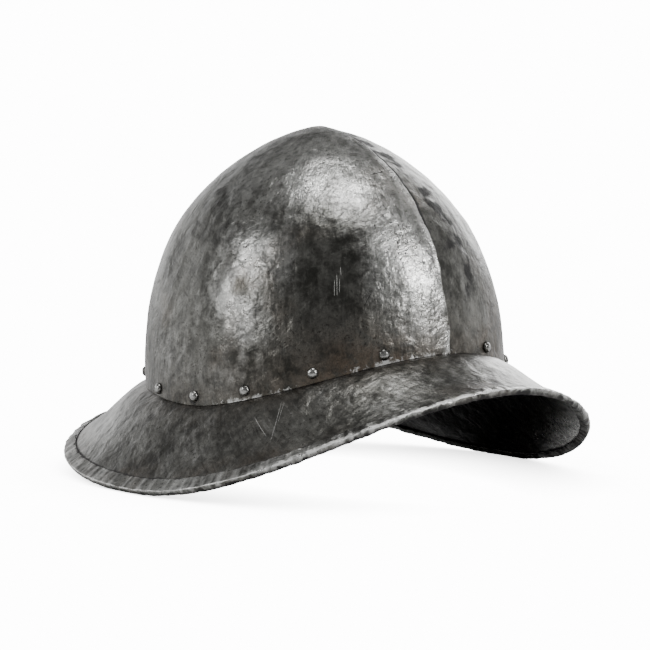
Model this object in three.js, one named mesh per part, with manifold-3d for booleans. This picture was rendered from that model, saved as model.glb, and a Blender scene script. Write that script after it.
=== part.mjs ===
// A hand-forged steel helmet: a tall ridged skull, a wide brim that drops at the sides and
// is arched up in front, a strip folded over the brim's edge, and rivets round the foot.
// Millimetres, +Z up, the wearer's face toward -Y. Z = 0 is the surface it rests on.
import * as THREE from 'three';
import { mergeVertices } from 'three/addons/utils/BufferGeometryUtils.js';
import Module from 'manifold-3d';

// Skull: outside sizes at the foot, and the height of the crown above the foot at the sides
const SKULL_LENGTH = 240;
const SKULL_WIDTH = 202;
const SKULL_RISE = 157;
const SKULL_WALL = 1.6;
const CROWN_SET_BACK = 2.5;
const BELLY_SET_BACK = 2.2;

// Powers of the skull's side curve: a fuller belly, and a crown that comes to a soft point
const BELLY_POWER = 2.6;
const CROWN_POWER = 1.57;

// Foot line of the skull, measured from its level at the sides
const FOOT_FRONT_RISE = 31;
const FOOT_REAR_RISE = 5;
const FOOT_SIDE_DIP = 2.5;
const SIDE_DIP_POWER = 12;

// Ridge along the middle seam, where the right half's plate stands proud of the left's, with
// a flatter flank on each side of it
const RIDGE_HEIGHT = 1.1;
const RIDGE_SPREAD = 12;
const SEAM_STEP = 0.7;
const SEAM_FADE = 30;
const FLANK_FLATNESS = 2.2;
const FLANK_DISTANCE = 36;
const FLANK_SPREAD = 22;

// Brim: outline of the plate's end, its drop from the foot at the sides, and its two arches
const BRIM_LENGTH = 341;
const BRIM_WIDTH = 287.5;
const BRIM_SQUARENESS = 2.14;
const BRIM_DROP = 48.8;
const BRIM_FRONT_RISE = 59.5;
const BRIM_REAR_RISE = 26;
const BRIM_SAG = 2;
const BRIM_CREST = 3.5;
const BRIM_WALL = 1.6;
const COLLAR_HEIGHT = 14;

// Folded strip on the brim's edge: wider on top at the sides than in front and behind
const BINDING_WALL = 1.5;
const BINDING_SIDE_FLANGE = 9.5;
const BINDING_END_FLANGE = 6;
const BINDING_UNDER_FLANGE = 4.5;
const BINDING_NOSE_STEPS = 4;

// Rivets round the foot
const RIVET_HEAD_WIDTH = 6.6;
const RIVET_HEAD_HEIGHT = 2.6;
const RIVET_SHANK_WIDTH = 3.2;
const RIVET_TAIL_WIDTH = 5;
const RIVET_TAIL_HEIGHT = 1.2;
const RIVET_LIFT = 5.5;
const RIVET_SIDES = 10;

// Play between pieces that touch, how far the two lowest spots of the edge are worn flat, and
// how sharply the edge's unevenness dies out at them
const PLAY = 0.3;
const REST_WEAR = 0.4;
const REST_SPOT_POWER = 8;

// Fineness of the meshes: columns round the helmet, crowded toward the middle plane, and rows
const COLUMNS = 64;
const CROWDING = 0.5;
const COLLAR_ROWS = 2;
const OUTER_ROWS = 14;
const INNER_ROWS = 9;
const BRIM_ROWS = 4;

// Hollows hammered into the skull. turn: degrees round from the front toward the left side.
// up: share of the skull's rise. across: share of its width. deep: share of its wall.
const HOLLOWS = [
  { turn: -42, up: 0.39, across: 0.34, deep: 1.1 },
  { turn: -98, up: 0.52, across: 0.24, deep: 0.8 },
  { turn: -72, up: 0.16, across: 0.22, deep: 0.5 },
  { turn: -38, up: 0.78, across: 0.22, deep: 0.6 },
  { turn: -140, up: 0.34, across: 0.28, deep: 0.8 },
  { turn: 14, up: 0.28, across: 0.20, deep: 0.7 },
  { turn: 58, up: 0.45, across: 0.28, deep: 0.8 },
  { turn: 112, up: 0.33, across: 0.26, deep: 0.7 },
  { turn: 150, up: 0.62, across: 0.22, deep: 0.6 },
];

// Places where the smith left the brim's edge high or low, clear of the two spots at the sides
// that it rests on. turn: degrees from the front toward the left side. lift: share of the
// brim's drop. wide: share of its half length.
const EDGE_WAVES = [
  { turn: 122, lift: 0.1, wide: 0.42 },
  { turn: 60, lift: 0.018, wide: 0.3 },
  { turn: 6, lift: 0.075, wide: 0.46 },
  { turn: -142, lift: -0.04, wide: 0.42 },
];

// Rivets from the front to the rear on each side. turn: degrees from the front.
// lift: share of the usual height above the foot, because each was placed by eye.
const RIVETS = {
  right: [
    { turn: -22.7, lift: 1.0 },
    { turn: -45.2, lift: 1.05 },
    { turn: -67.0, lift: 0.98 },
    { turn: -86.3, lift: 0.95 },
    { turn: -106.1, lift: 0.9 },
    { turn: -135.3, lift: 1.05 },
    { turn: -157.5, lift: 1.0 },
  ],
  left: [
    { turn: 21.3, lift: 0.9 },
    { turn: 49.5, lift: 1.15 },
    { turn: 67.5, lift: 1.0 },
    { turn: 90.0, lift: 1.0 },
    { turn: 112.5, lift: 0.95 },
    { turn: 135.0, lift: 1.05 },
    { turn: 157.5, lift: 1.0 },
  ],
};

const FORGED_STEEL = { color: 0x55534f, roughness: 0.45, metalness: 0.95 };
const BRIM_STEEL = { color: 0x4b4946, roughness: 0.5, metalness: 0.95 };
const WORN_STEEL = { color: 0x8b8a86, roughness: 0.4, metalness: 0.95 };
const RIVET_STEEL = { color: 0x6e6b66, roughness: 0.35, metalness: 0.95 };

const wasm = await Module();
wasm.setup();

// Sign-keeping power, for outlines squarer than an ellipse
function signedPower(value, power) {
  return Math.sign(value) * Math.abs(value) ** power;
}

// Height along a line with one level in front, one behind, and zero at both sides
function archHeight(turn, frontRise, rearRise) {
  const along = Math.cos(turn);
  return along ** 2 * (along > 0 ? frontRise : rearRise);
}

// Skull's foot line at a turn from the front, in radians
function footPoint(turn) {
  const height = archHeight(turn, FOOT_FRONT_RISE, FOOT_REAR_RISE)
    - FOOT_SIDE_DIP * Math.abs(Math.sin(turn)) ** SIDE_DIP_POWER;
  return new THREE.Vector3(
    0.5 * SKULL_WIDTH * Math.sin(turn),
    -0.5 * SKULL_LENGTH * Math.cos(turn),
    height,
  );
}

// End of the brim's plate, on its top face, before the smith's unevenness
function plainBrimEnd(turn) {
  const power = 2 / BRIM_SQUARENESS;
  return new THREE.Vector3(
    0.5 * BRIM_WIDTH * signedPower(Math.sin(turn), power),
    -0.5 * BRIM_LENGTH * signedPower(Math.cos(turn), power),
    archHeight(turn, BRIM_FRONT_RISE, BRIM_REAR_RISE) - BRIM_DROP,
  );
}

const edgeWaves = EDGE_WAVES.map(({ turn, lift, wide }) => ({
  centre: plainBrimEnd(THREE.MathUtils.degToRad(turn)),
  height: lift * BRIM_DROP,
  radius: 0.5 * wide * BRIM_LENGTH,
}));

function brimEndPoint(turn) {
  const point = plainBrimEnd(turn);
  const clearOfSides = 1 - Math.abs(Math.sin(turn)) ** REST_SPOT_POWER;
  const waves = edgeWaves.map(({ centre, height, radius }) => (
    height * Math.exp(-((point.distanceTo(centre) / radius) ** 2))
  ));
  point.z += clearOfSides * waves.reduce((sum, height) => sum + height, 0);
  return point;
}

// Share of the rise at a climb angle, where 0 is the foot and a quarter turn the crown
function riseShare(climb) {
  return Math.sin(climb) ** (2 / BELLY_POWER);
}

// Climb angle at which the skull has a given share of its rise
function climbAt(share) {
  return Math.asin(share ** (BELLY_POWER / 2));
}

// Climb angle at a level of the skull: 0 is the foot, 1 the top of the collar, 2 the crown
function climbAtLevel(turn, level) {
  const collarTop = climbAt(COLLAR_HEIGHT / (SKULL_RISE - footPoint(turn).z));
  if (level <= 1) {
    return climbAt(COLLAR_HEIGHT * level / (SKULL_RISE - footPoint(turn).z));
  }
  return collarTop + (Math.PI / 2 - collarTop) * (level - 1);
}

// Skull's outer face before the ridge and the hammered hollows
function plainSkullPoint(turn, climb) {
  const foot = footPoint(turn);
  const share = riseShare(climb);
  const spread = Math.cos(climb) ** (2 / CROWN_POWER);
  const setBack = CROWN_SET_BACK * share + 4 * BELLY_SET_BACK * share * (1 - share);
  return new THREE.Vector3(
    foot.x * spread,
    foot.y * spread + setBack,
    foot.z + (SKULL_RISE - foot.z) * share,
  );
}

// Outward normal of a surface given as a function of two parameters
function surfaceNormal(surface, turn, along, low, high) {
  const step = 0.01;
  const before = Math.max(along - step, low);
  const after = Math.min(along + step, high);
  const round = surface(turn + step, along).sub(surface(turn - step, along));
  const rise = surface(turn, after).sub(surface(turn, before));
  return round.cross(rise).normalize();
}

function skullNormal(turn, climb) {
  const crown = Math.PI / 2;
  if (crown - climb < 1e-6) {
    return new THREE.Vector3(0, 0, 1);
  }
  return surfaceNormal(plainSkullPoint, turn, climb, 0, crown);
}

const hollows = HOLLOWS.map(({ turn, up, across, deep }) => ({
  centre: plainSkullPoint(THREE.MathUtils.degToRad(turn), climbAt(up)),
  radius: 0.5 * across * SKULL_WIDTH,
  depth: deep * SKULL_WALL,
}));

// How far the hammered face stands out from the plain one: the ridge less flanks and hollows
function relief(point) {
  const aside = Math.abs(point.x);
  const onSeam = aside < 1e-6;
  const proud = onSeam || point.x < 0 ? SEAM_STEP * Math.exp(-aside / SEAM_FADE) : 0;
  let height = RIDGE_HEIGHT * Math.exp(-aside / RIDGE_SPREAD) + proud;
  const belowCrown = Math.max(0, 1 - point.z / SKULL_RISE);
  height -= FLANK_FLATNESS * belowCrown * Math.exp(-(((aside - FLANK_DISTANCE) / FLANK_SPREAD) ** 2));
  for (const { centre, radius, depth } of hollows) {
    height -= depth * Math.exp(-((point.distanceTo(centre) / radius) ** 2));
  }
  return height;
}

// A point in the skull's plate, a given depth below its outer face
function skullPoint(turn, climb, depth = 0) {
  const point = plainSkullPoint(turn, climb);
  return point.addScaledVector(skullNormal(turn, climb), relief(point) - depth);
}

// Brim's top face: 0 is the skull's foot, 1 the end of the plate. It leaves the skull on a
// low crest, a quarter of the way out, and sags between there and the edge.
function brimTopPoint(turn, out) {
  const point = skullPoint(turn, 0).lerp(brimEndPoint(turn), out);
  const inward = 1 - out;
  const crest = out * inward ** 3 / (0.25 * 0.75 ** 3);
  point.z += BRIM_CREST * crest - 4 * BRIM_SAG * out * inward;
  return point;
}

// The brim's rows run outward, so its normal is turned to point up
function brimNormal(turn, out) {
  return surfaceNormal(brimTopPoint, turn, out, -1, 2).negate();
}

function brimPoint(turn, out, depth = 0) {
  return brimTopPoint(turn, out).addScaledVector(brimNormal(turn, out), -depth);
}

function brimWidth(turn) {
  return brimTopPoint(turn, 0).distanceTo(brimTopPoint(turn, 1));
}

// Where the binding's upper flange ends, as a share of the way out across the brim
function flangeLine(turn) {
  const wider = (BINDING_SIDE_FLANGE - BINDING_END_FLANGE) * Math.sin(turn) ** 2;
  return 1 - (BINDING_END_FLANGE + wider) / brimWidth(turn);
}

// Fall of the brim for each millimetre outward, next to the skull
function brimSlope(turn) {
  const near = brimTopPoint(turn, 0);
  const far = brimTopPoint(turn, 0.1);
  return (near.z - far.z) / Math.hypot(far.x - near.x, far.y - near.y);
}

// Turn of a column, from its share of the way round
function columnTurn(share) {
  const even = 2 * Math.PI * share;
  return even - 0.5 * CROWDING * Math.sin(2 * even);
}

// Drops shared corners and flat triangles, so that the mesh is one closed skin
function closedGeometry(geometry) {
  geometry.deleteAttribute('normal');
  geometry.deleteAttribute('uv');
  const merged = mergeVertices(geometry, 1e-4);
  const corners = merged.index.array;
  const kept = [];
  for (let i = 0; i < corners.length; i += 3) {
    const [a, b, c] = corners.slice(i, i + 3);
    if (a !== b && b !== c && c !== a) {
      kept.push(a, b, c);
    }
  }
  merged.setIndex(kept);
  return merged;
}

// A lathe-turned section, {radius, height} at each station, whose rings are then pressed into
// the helmet's own shape by place(turn, station)
function pressedLathe(stations, place) {
  const outline = stations.map(({ radius, height }) => new THREE.Vector2(radius, height));
  const geometry = new THREE.LatheGeometry(outline, COLUMNS);
  const { position, uv } = geometry.attributes;
  for (let i = 0; i < position.count; i += 1) {
    const station = stations[Math.round(uv.getY(i) * (stations.length - 1))];
    const { x, y, z } = place(columnTurn(uv.getX(i) % 1), station);
    position.setXYZ(i, x, y, z);
  }
  return closedGeometry(geometry);
}

function toSolid(geometry) {
  return new wasm.Manifold(new wasm.Mesh({
    numProp: 3,
    vertProperties: new Float32Array(geometry.attributes.position.array),
    triVerts: new Uint32Array(geometry.index.array),
  }));
}

function toGeometry(solid) {
  const { vertProperties, triVerts } = solid.getMesh();
  const geometry = new THREE.BufferGeometry();
  geometry.setAttribute('position', new THREE.BufferAttribute(vertProperties, 3));
  geometry.setIndex(new THREE.BufferAttribute(triVerts, 1));
  return geometry;
}

function cutAll(geometry, cutters) {
  return toGeometry(cutters.reduce((solid, cutter) => solid.subtract(toSolid(cutter)), toSolid(geometry)));
}

// Skull: down the inside from the crown, across the foot, and up the outside. The rows near
// the foot are the collar's, so that the two faces stay parallel.
function skullGeometry() {
  const station = (level, depth) => ({
    level,
    depth,
    radius: level === 2 ? 0 : (0.5 * SKULL_WIDTH - depth) * (level > 1 ? 2 - level : 1),
    height: level > 1 ? SKULL_RISE * (level - 1) - depth : COLLAR_HEIGHT * (level - 1) - depth,
  });
  const stations = [];
  for (let row = INNER_ROWS; row >= 1; row -= 1) {
    stations.push(station(1 + row / INNER_ROWS, SKULL_WALL));
  }
  for (let row = COLLAR_ROWS; row >= 0; row -= 1) {
    stations.push(station(row / COLLAR_ROWS, SKULL_WALL));
  }
  for (let row = 0; row <= COLLAR_ROWS; row += 1) {
    stations.push(station(row / COLLAR_ROWS, 0));
  }
  for (let row = 1; row <= OUTER_ROWS; row += 1) {
    stations.push(station(1 + row / OUTER_ROWS, 0));
  }
  return pressedLathe(stations, (turn, { level, depth }) => {
    const point = skullPoint(turn, climbAtLevel(turn, level), depth);
    if (level === 0) {
      point.z += depth * brimSlope(turn);
    }
    return point;
  });
}

// Brim: out along the underside, in along the top face, and round the collar. Its rows reach
// the line where the binding's flange ends, and one more lies at the end of the plate.
function brimGeometry() {
  const outside = SKULL_WALL + PLAY;
  const inside = outside + BRIM_WALL;
  const endRow = BRIM_ROWS + 1;
  const flare = (row, depth) => ({
    row,
    depth,
    radius: 0.5 * (SKULL_WIDTH + (BRIM_WIDTH - SKULL_WIDTH) * row / endRow),
    height: -BRIM_DROP * row / endRow - depth,
  });
  const collar = (row, depth) => ({
    level: row / COLLAR_ROWS,
    depth,
    radius: 0.5 * SKULL_WIDTH - depth,
    height: COLLAR_HEIGHT * row / COLLAR_ROWS,
  });
  const stations = [collar(0, inside)];
  for (let row = 1; row <= endRow; row += 1) {
    stations.push(flare(row, PLAY + BRIM_WALL));
  }
  for (let row = endRow; row >= 0; row -= 1) {
    stations.push(flare(row, PLAY));
  }
  for (let row = 0; row <= COLLAR_ROWS; row += 1) {
    stations.push(collar(row, outside));
  }
  for (let row = COLLAR_ROWS; row >= 0; row -= 1) {
    stations.push(collar(row, inside));
  }
  return pressedLathe(stations, (turn, { row, level, depth }) => {
    if (row !== undefined) {
      return brimPoint(turn, row === endRow ? 1 : flangeLine(turn) * row / BRIM_ROWS, depth);
    }
    const point = skullPoint(turn, climbAtLevel(turn, level), depth);
    if (level === 0) {
      const slope = brimSlope(turn);
      const underPlate = depth > outside ? BRIM_WALL * (Math.hypot(1, slope) - slope) : 0;
      point.z += outside * slope - PLAY - underPlate;
    }
    return point;
  });
}

// Binding: its outer skin from the flange below, round the nose, to the flange above, and back
function bindingGeometry() {
  const half = 0.5 * BRIM_WALL + PLAY;
  const outerHalf = half + BINDING_WALL;
  const nose = PLAY + BINDING_WALL;
  const stations = [];
  const station = (reach, lift) => ({
    reach,
    lift,
    radius: 0.5 * BRIM_WIDTH + reach,
    height: lift,
  });
  stations.push(station(-BINDING_UNDER_FLANGE, -outerHalf));
  for (let step = 0; step <= BINDING_NOSE_STEPS; step += 1) {
    const roll = Math.PI * (step / BINDING_NOSE_STEPS - 0.5);
    stations.push(station(nose * Math.cos(roll), outerHalf * Math.sin(roll)));
  }
  stations.push({ ...station(-BINDING_END_FLANGE, outerHalf), atFlangeLine: true });
  stations.push({ ...station(-BINDING_END_FLANGE, half), atFlangeLine: true });
  stations.push(station(PLAY, half));
  stations.push(station(PLAY, -half));
  stations.push(station(-BINDING_UNDER_FLANGE, -half));
  stations.push(station(-BINDING_UNDER_FLANGE, -outerHalf));
  const middle = PLAY + 0.5 * BRIM_WALL;
  return pressedLathe(stations, (turn, { reach, lift, atFlangeLine }) => {
    const out = atFlangeLine ? flangeLine(turn) : 1 + reach / brimWidth(turn);
    return brimPoint(turn, out, middle - lift);
  });
}

// The two columns that a turn lies between, and its share of the way from one to the other
function nearColumns(turn) {
  const full = 2 * Math.PI;
  const wanted = ((turn % full) + full) % full;
  let column = 0;
  while (columnTurn((column + 1) / COLUMNS) < wanted) {
    column += 1;
  }
  const before = columnTurn(column / COLUMNS);
  const after = columnTurn((column + 1) / COLUMNS);
  return { before, after, share: (wanted - before) / (after - before) };
}

// Place and direction of a rivet: on the facet of the skull's outer face, pointing out of it
function rivetPlace(turnDegrees, lift) {
  const turn = THREE.MathUtils.degToRad(turnDegrees);
  const level = RIVET_LIFT * lift / COLLAR_HEIGHT;
  const { before, after, share } = nearColumns(turn);
  const position = skullPoint(before, climbAtLevel(before, level))
    .lerp(skullPoint(after, climbAtLevel(after, level)), share);
  const outward = skullNormal(turn, climbAtLevel(turn, level));
  const upright = new THREE.Quaternion().setFromUnitVectors(new THREE.Vector3(0, 0, 1), outward);
  return { position, quaternion: upright };
}

// Rivet along +Z: domed head outside, shank through both plates, flattened tail inside
function rivetGeometry() {
  const head = 0.5 * RIVET_HEAD_WIDTH;
  const shank = 0.5 * RIVET_SHANK_WIDTH;
  const tail = 0.5 * RIVET_TAIL_WIDTH;
  const seat = PLAY;
  const tailSeat = -(SKULL_WALL + BRIM_WALL + 2 * PLAY);
  const tailEnd = tailSeat - RIVET_TAIL_HEIGHT;
  const outline = [
    new THREE.Vector2(0, tailEnd),
    new THREE.Vector2(0.8 * tail, tailEnd),
    new THREE.Vector2(tail, tailSeat),
    new THREE.Vector2(shank, tailSeat),
    new THREE.Vector2(shank, seat),
    new THREE.Vector2(head, seat),
  ];
  for (const share of [0.35, 0.7, 1]) {
    const roll = share * Math.PI / 2;
    const radius = share === 1 ? 0 : head * Math.cos(roll);
    outline.push(new THREE.Vector2(radius, seat + RIVET_HEAD_HEIGHT * Math.sin(roll)));
  }
  const turned = new THREE.LatheGeometry(outline, RIVET_SIDES);
  turned.rotateX(Math.PI / 2);
  return closedGeometry(turned);
}

// Hole cutter for a rivet's shank, long enough to pass both plates
function rivetHoleGeometry({ position, quaternion }) {
  const length = 4 * (SKULL_WALL + BRIM_WALL);
  const hole = new THREE.CylinderGeometry(
    0.5 * RIVET_SHANK_WIDTH + PLAY,
    0.5 * RIVET_SHANK_WIDTH + PLAY,
    length,
    RIVET_SIDES,
  );
  hole.rotateX(Math.PI / 2);
  hole.applyQuaternion(quaternion);
  hole.translate(position.x, position.y, position.z);
  return closedGeometry(hole);
}

// Everything below the level to which the edge is worn
function wearGeometry(level) {
  const slab = new THREE.BoxGeometry(2 * BRIM_WIDTH, 2 * BRIM_LENGTH, BRIM_DROP);
  slab.translate(0, 0, level - 0.5 * BRIM_DROP);
  return closedGeometry(slab);
}

function namedMesh(name, geometry, finish) {
  const mesh = new THREE.Mesh(geometry, new THREE.MeshStandardMaterial(finish));
  mesh.name = name;
  return mesh;
}

const rivetPlaces = Object.entries(RIVETS).flatMap(([side, row]) => row.map(({ turn, lift }, index) => ({
  name: `rivet_${side}_${index + 1}`,
  ...rivetPlace(turn, lift),
})));
const holes = rivetPlaces.map(rivetHoleGeometry);

const plainBinding = bindingGeometry();
plainBinding.computeBoundingBox();
const edgeBox = plainBinding.boundingBox;
const restLevel = edgeBox.min.z + REST_WEAR;

const helmet = new THREE.Group();
helmet.add(
  namedMesh('skull', cutAll(skullGeometry(), holes), FORGED_STEEL),
  namedMesh('brim', cutAll(brimGeometry(), holes), BRIM_STEEL),
  namedMesh('edge_binding', cutAll(plainBinding, [wearGeometry(restLevel)]), WORN_STEEL),
);
for (const { name, position, quaternion } of rivetPlaces) {
  const rivet = namedMesh(name, rivetGeometry(), RIVET_STEEL);
  rivet.position.copy(position);
  rivet.quaternion.copy(quaternion);
  helmet.add(rivet);
}

// Stands the helmet on Z = 0, with the middle of its outline at the origin
helmet.position.set(
  -0.5 * (edgeBox.min.x + edgeBox.max.x),
  -0.5 * (edgeBox.min.y + edgeBox.max.y),
  -restLevel,
);

const stand = new THREE.Group();
stand.add(helmet);
export default stand;
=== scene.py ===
"""Dresses the forged steel helmet: its plates, folded edge strip, rivets and patina.

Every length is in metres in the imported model's own frame: +Z up, the wearer's face
toward -Y. A turn is an angle in radians round the helmet, zero at the front and growing
toward the wearer's left.
"""

import logging
import math
from dataclasses import dataclass, field
from enum import Enum
from typing import Callable, ClassVar, Iterable, Optional, Sequence, Union

import bmesh
import bpy
import numpy as np
from mathutils import Matrix, Vector, noise


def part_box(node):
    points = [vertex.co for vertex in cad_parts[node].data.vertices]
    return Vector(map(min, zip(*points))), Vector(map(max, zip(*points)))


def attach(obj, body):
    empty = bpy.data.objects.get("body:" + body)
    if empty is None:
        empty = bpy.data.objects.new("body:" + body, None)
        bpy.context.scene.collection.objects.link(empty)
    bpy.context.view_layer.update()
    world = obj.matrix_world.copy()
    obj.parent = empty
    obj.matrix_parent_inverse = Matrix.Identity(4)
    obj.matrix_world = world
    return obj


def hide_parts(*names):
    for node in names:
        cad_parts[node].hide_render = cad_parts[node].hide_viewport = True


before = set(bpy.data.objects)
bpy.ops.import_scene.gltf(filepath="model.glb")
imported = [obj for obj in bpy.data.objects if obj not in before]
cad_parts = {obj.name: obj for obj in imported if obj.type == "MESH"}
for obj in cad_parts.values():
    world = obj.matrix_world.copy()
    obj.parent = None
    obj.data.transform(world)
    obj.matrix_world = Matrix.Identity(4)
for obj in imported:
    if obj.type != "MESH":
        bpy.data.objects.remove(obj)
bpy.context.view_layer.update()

LOG = logging.getLogger("helmet")
QUARTER = math.pi / 2
WELD = 1e-6
Array = np.ndarray
Mesh = bmesh.types.BMesh
Piece = bpy.types.Object
Socket = Union[bpy.types.NodeSocket, float, tuple]


@dataclass(frozen=True)
class Hollow:
    """A shallow hollow hammered into the skull.

    Attributes:
        turn: degrees round from the front toward the left side.
        up: share of the skull's rise.
        across: share of the skull's width.
        deep: share of the skull's wall.
    """

    turn: float
    up: float
    across: float
    deep: float


@dataclass(frozen=True)
class EdgeWave:
    """A stretch where the brim's edge was left high or low.

    Attributes:
        turn: degrees round from the front toward the left side.
        lift: share of the brim's drop.
        wide: share of the brim's half length.
    """

    turn: float
    lift: float
    wide: float


@dataclass(frozen=True)
class Patch:
    """A soft-edged patch of wear with painted highlight on the skull; one with an
    amount below zero paints shade.

    Attributes:
        turn: degrees round from the front toward the left side.
        up: share of the skull's rise.
        wide: half width, in metres.
        tall: half height, in metres.
        amount: strength, below zero to take away.
    """

    turn: float
    up: float
    wide: float
    tall: float
    amount: float


HOLLOWS = (
    Hollow(-42, 0.39, 0.34, 1.1),
    Hollow(-98, 0.52, 0.24, 0.8),
    Hollow(-72, 0.16, 0.22, 0.5),
    Hollow(-38, 0.78, 0.22, 0.6),
    Hollow(-140, 0.34, 0.28, 0.8),
    Hollow(14, 0.28, 0.20, 0.7),
    Hollow(58, 0.45, 0.28, 0.8),
    Hollow(112, 0.33, 0.26, 0.7),
    Hollow(150, 0.62, 0.22, 0.6),
)

DISHES = (
    Hollow(-41, 0.43, 0.34, 0.80),
    Hollow(-72, 0.24, 0.20, 0.12),
    Hollow(-99, 0.56, 0.26, 0.30),
    Hollow(-62, 0.74, 0.20, 0.22),
    Hollow(-22, 0.30, 0.18, 0.22),
    Hollow(30, 0.50, 0.24, 0.30),
)

EDGE_WAVES = (
    EdgeWave(122, 0.1, 0.42),
    EdgeWave(60, 0.018, 0.3),
    EdgeWave(6, 0.075, 0.46),
    EdgeWave(-142, -0.04, 0.42),
)


def fractal(points: Array, size: float, octaves: int, offset: float = 0.0) -> Array:
    """Gives smooth noise of a feature size at each point.

    Args:
        points: places, one row each.
        size: width of the largest features.
        octaves: how many finer layers are added.
        offset: shifts the noise, for another draw.

    Returns:
        Values of about -1 to 1.
    """
    shifted = points / size + offset
    return np.array([
        noise.fractal(Vector(place), 1.0, 2.0, octaves) for place in shifted.tolist()
    ])


def cells(points: Array, size: float, offset: float = 0.0) -> Array:
    """Gives the distance to the nearest hammer blow, as a share of their spacing.

    Args:
        points: places, one row each.
        size: spacing of the blows.
        offset: shifts the blows, for another draw.

    Returns:
        Values of about 0 at a blow's middle to 1 between blows.
    """
    shifted = points / size + offset
    return np.array([noise.voronoi(Vector(p))[0][0] for p in shifted.tolist()])


def smooth_step(values: Array, low: float, high: float) -> Array:
    """Rises smoothly from 0 at low to 1 at high."""
    share = np.clip((values - low) / (high - low), 0.0, 1.0)
    return share * share * (3 - 2 * share)


def bell(distance: Array, width: Union[float, Array]) -> Array:
    """Falls off smoothly from 1 at no distance to about a third at the width."""
    return np.exp(-((distance / width) ** 2))


def unit(vectors: Array) -> Array:
    """Scales each row to length one."""
    return vectors / np.maximum(np.linalg.norm(vectors, axis=1, keepdims=True), 1e-12)


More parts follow.
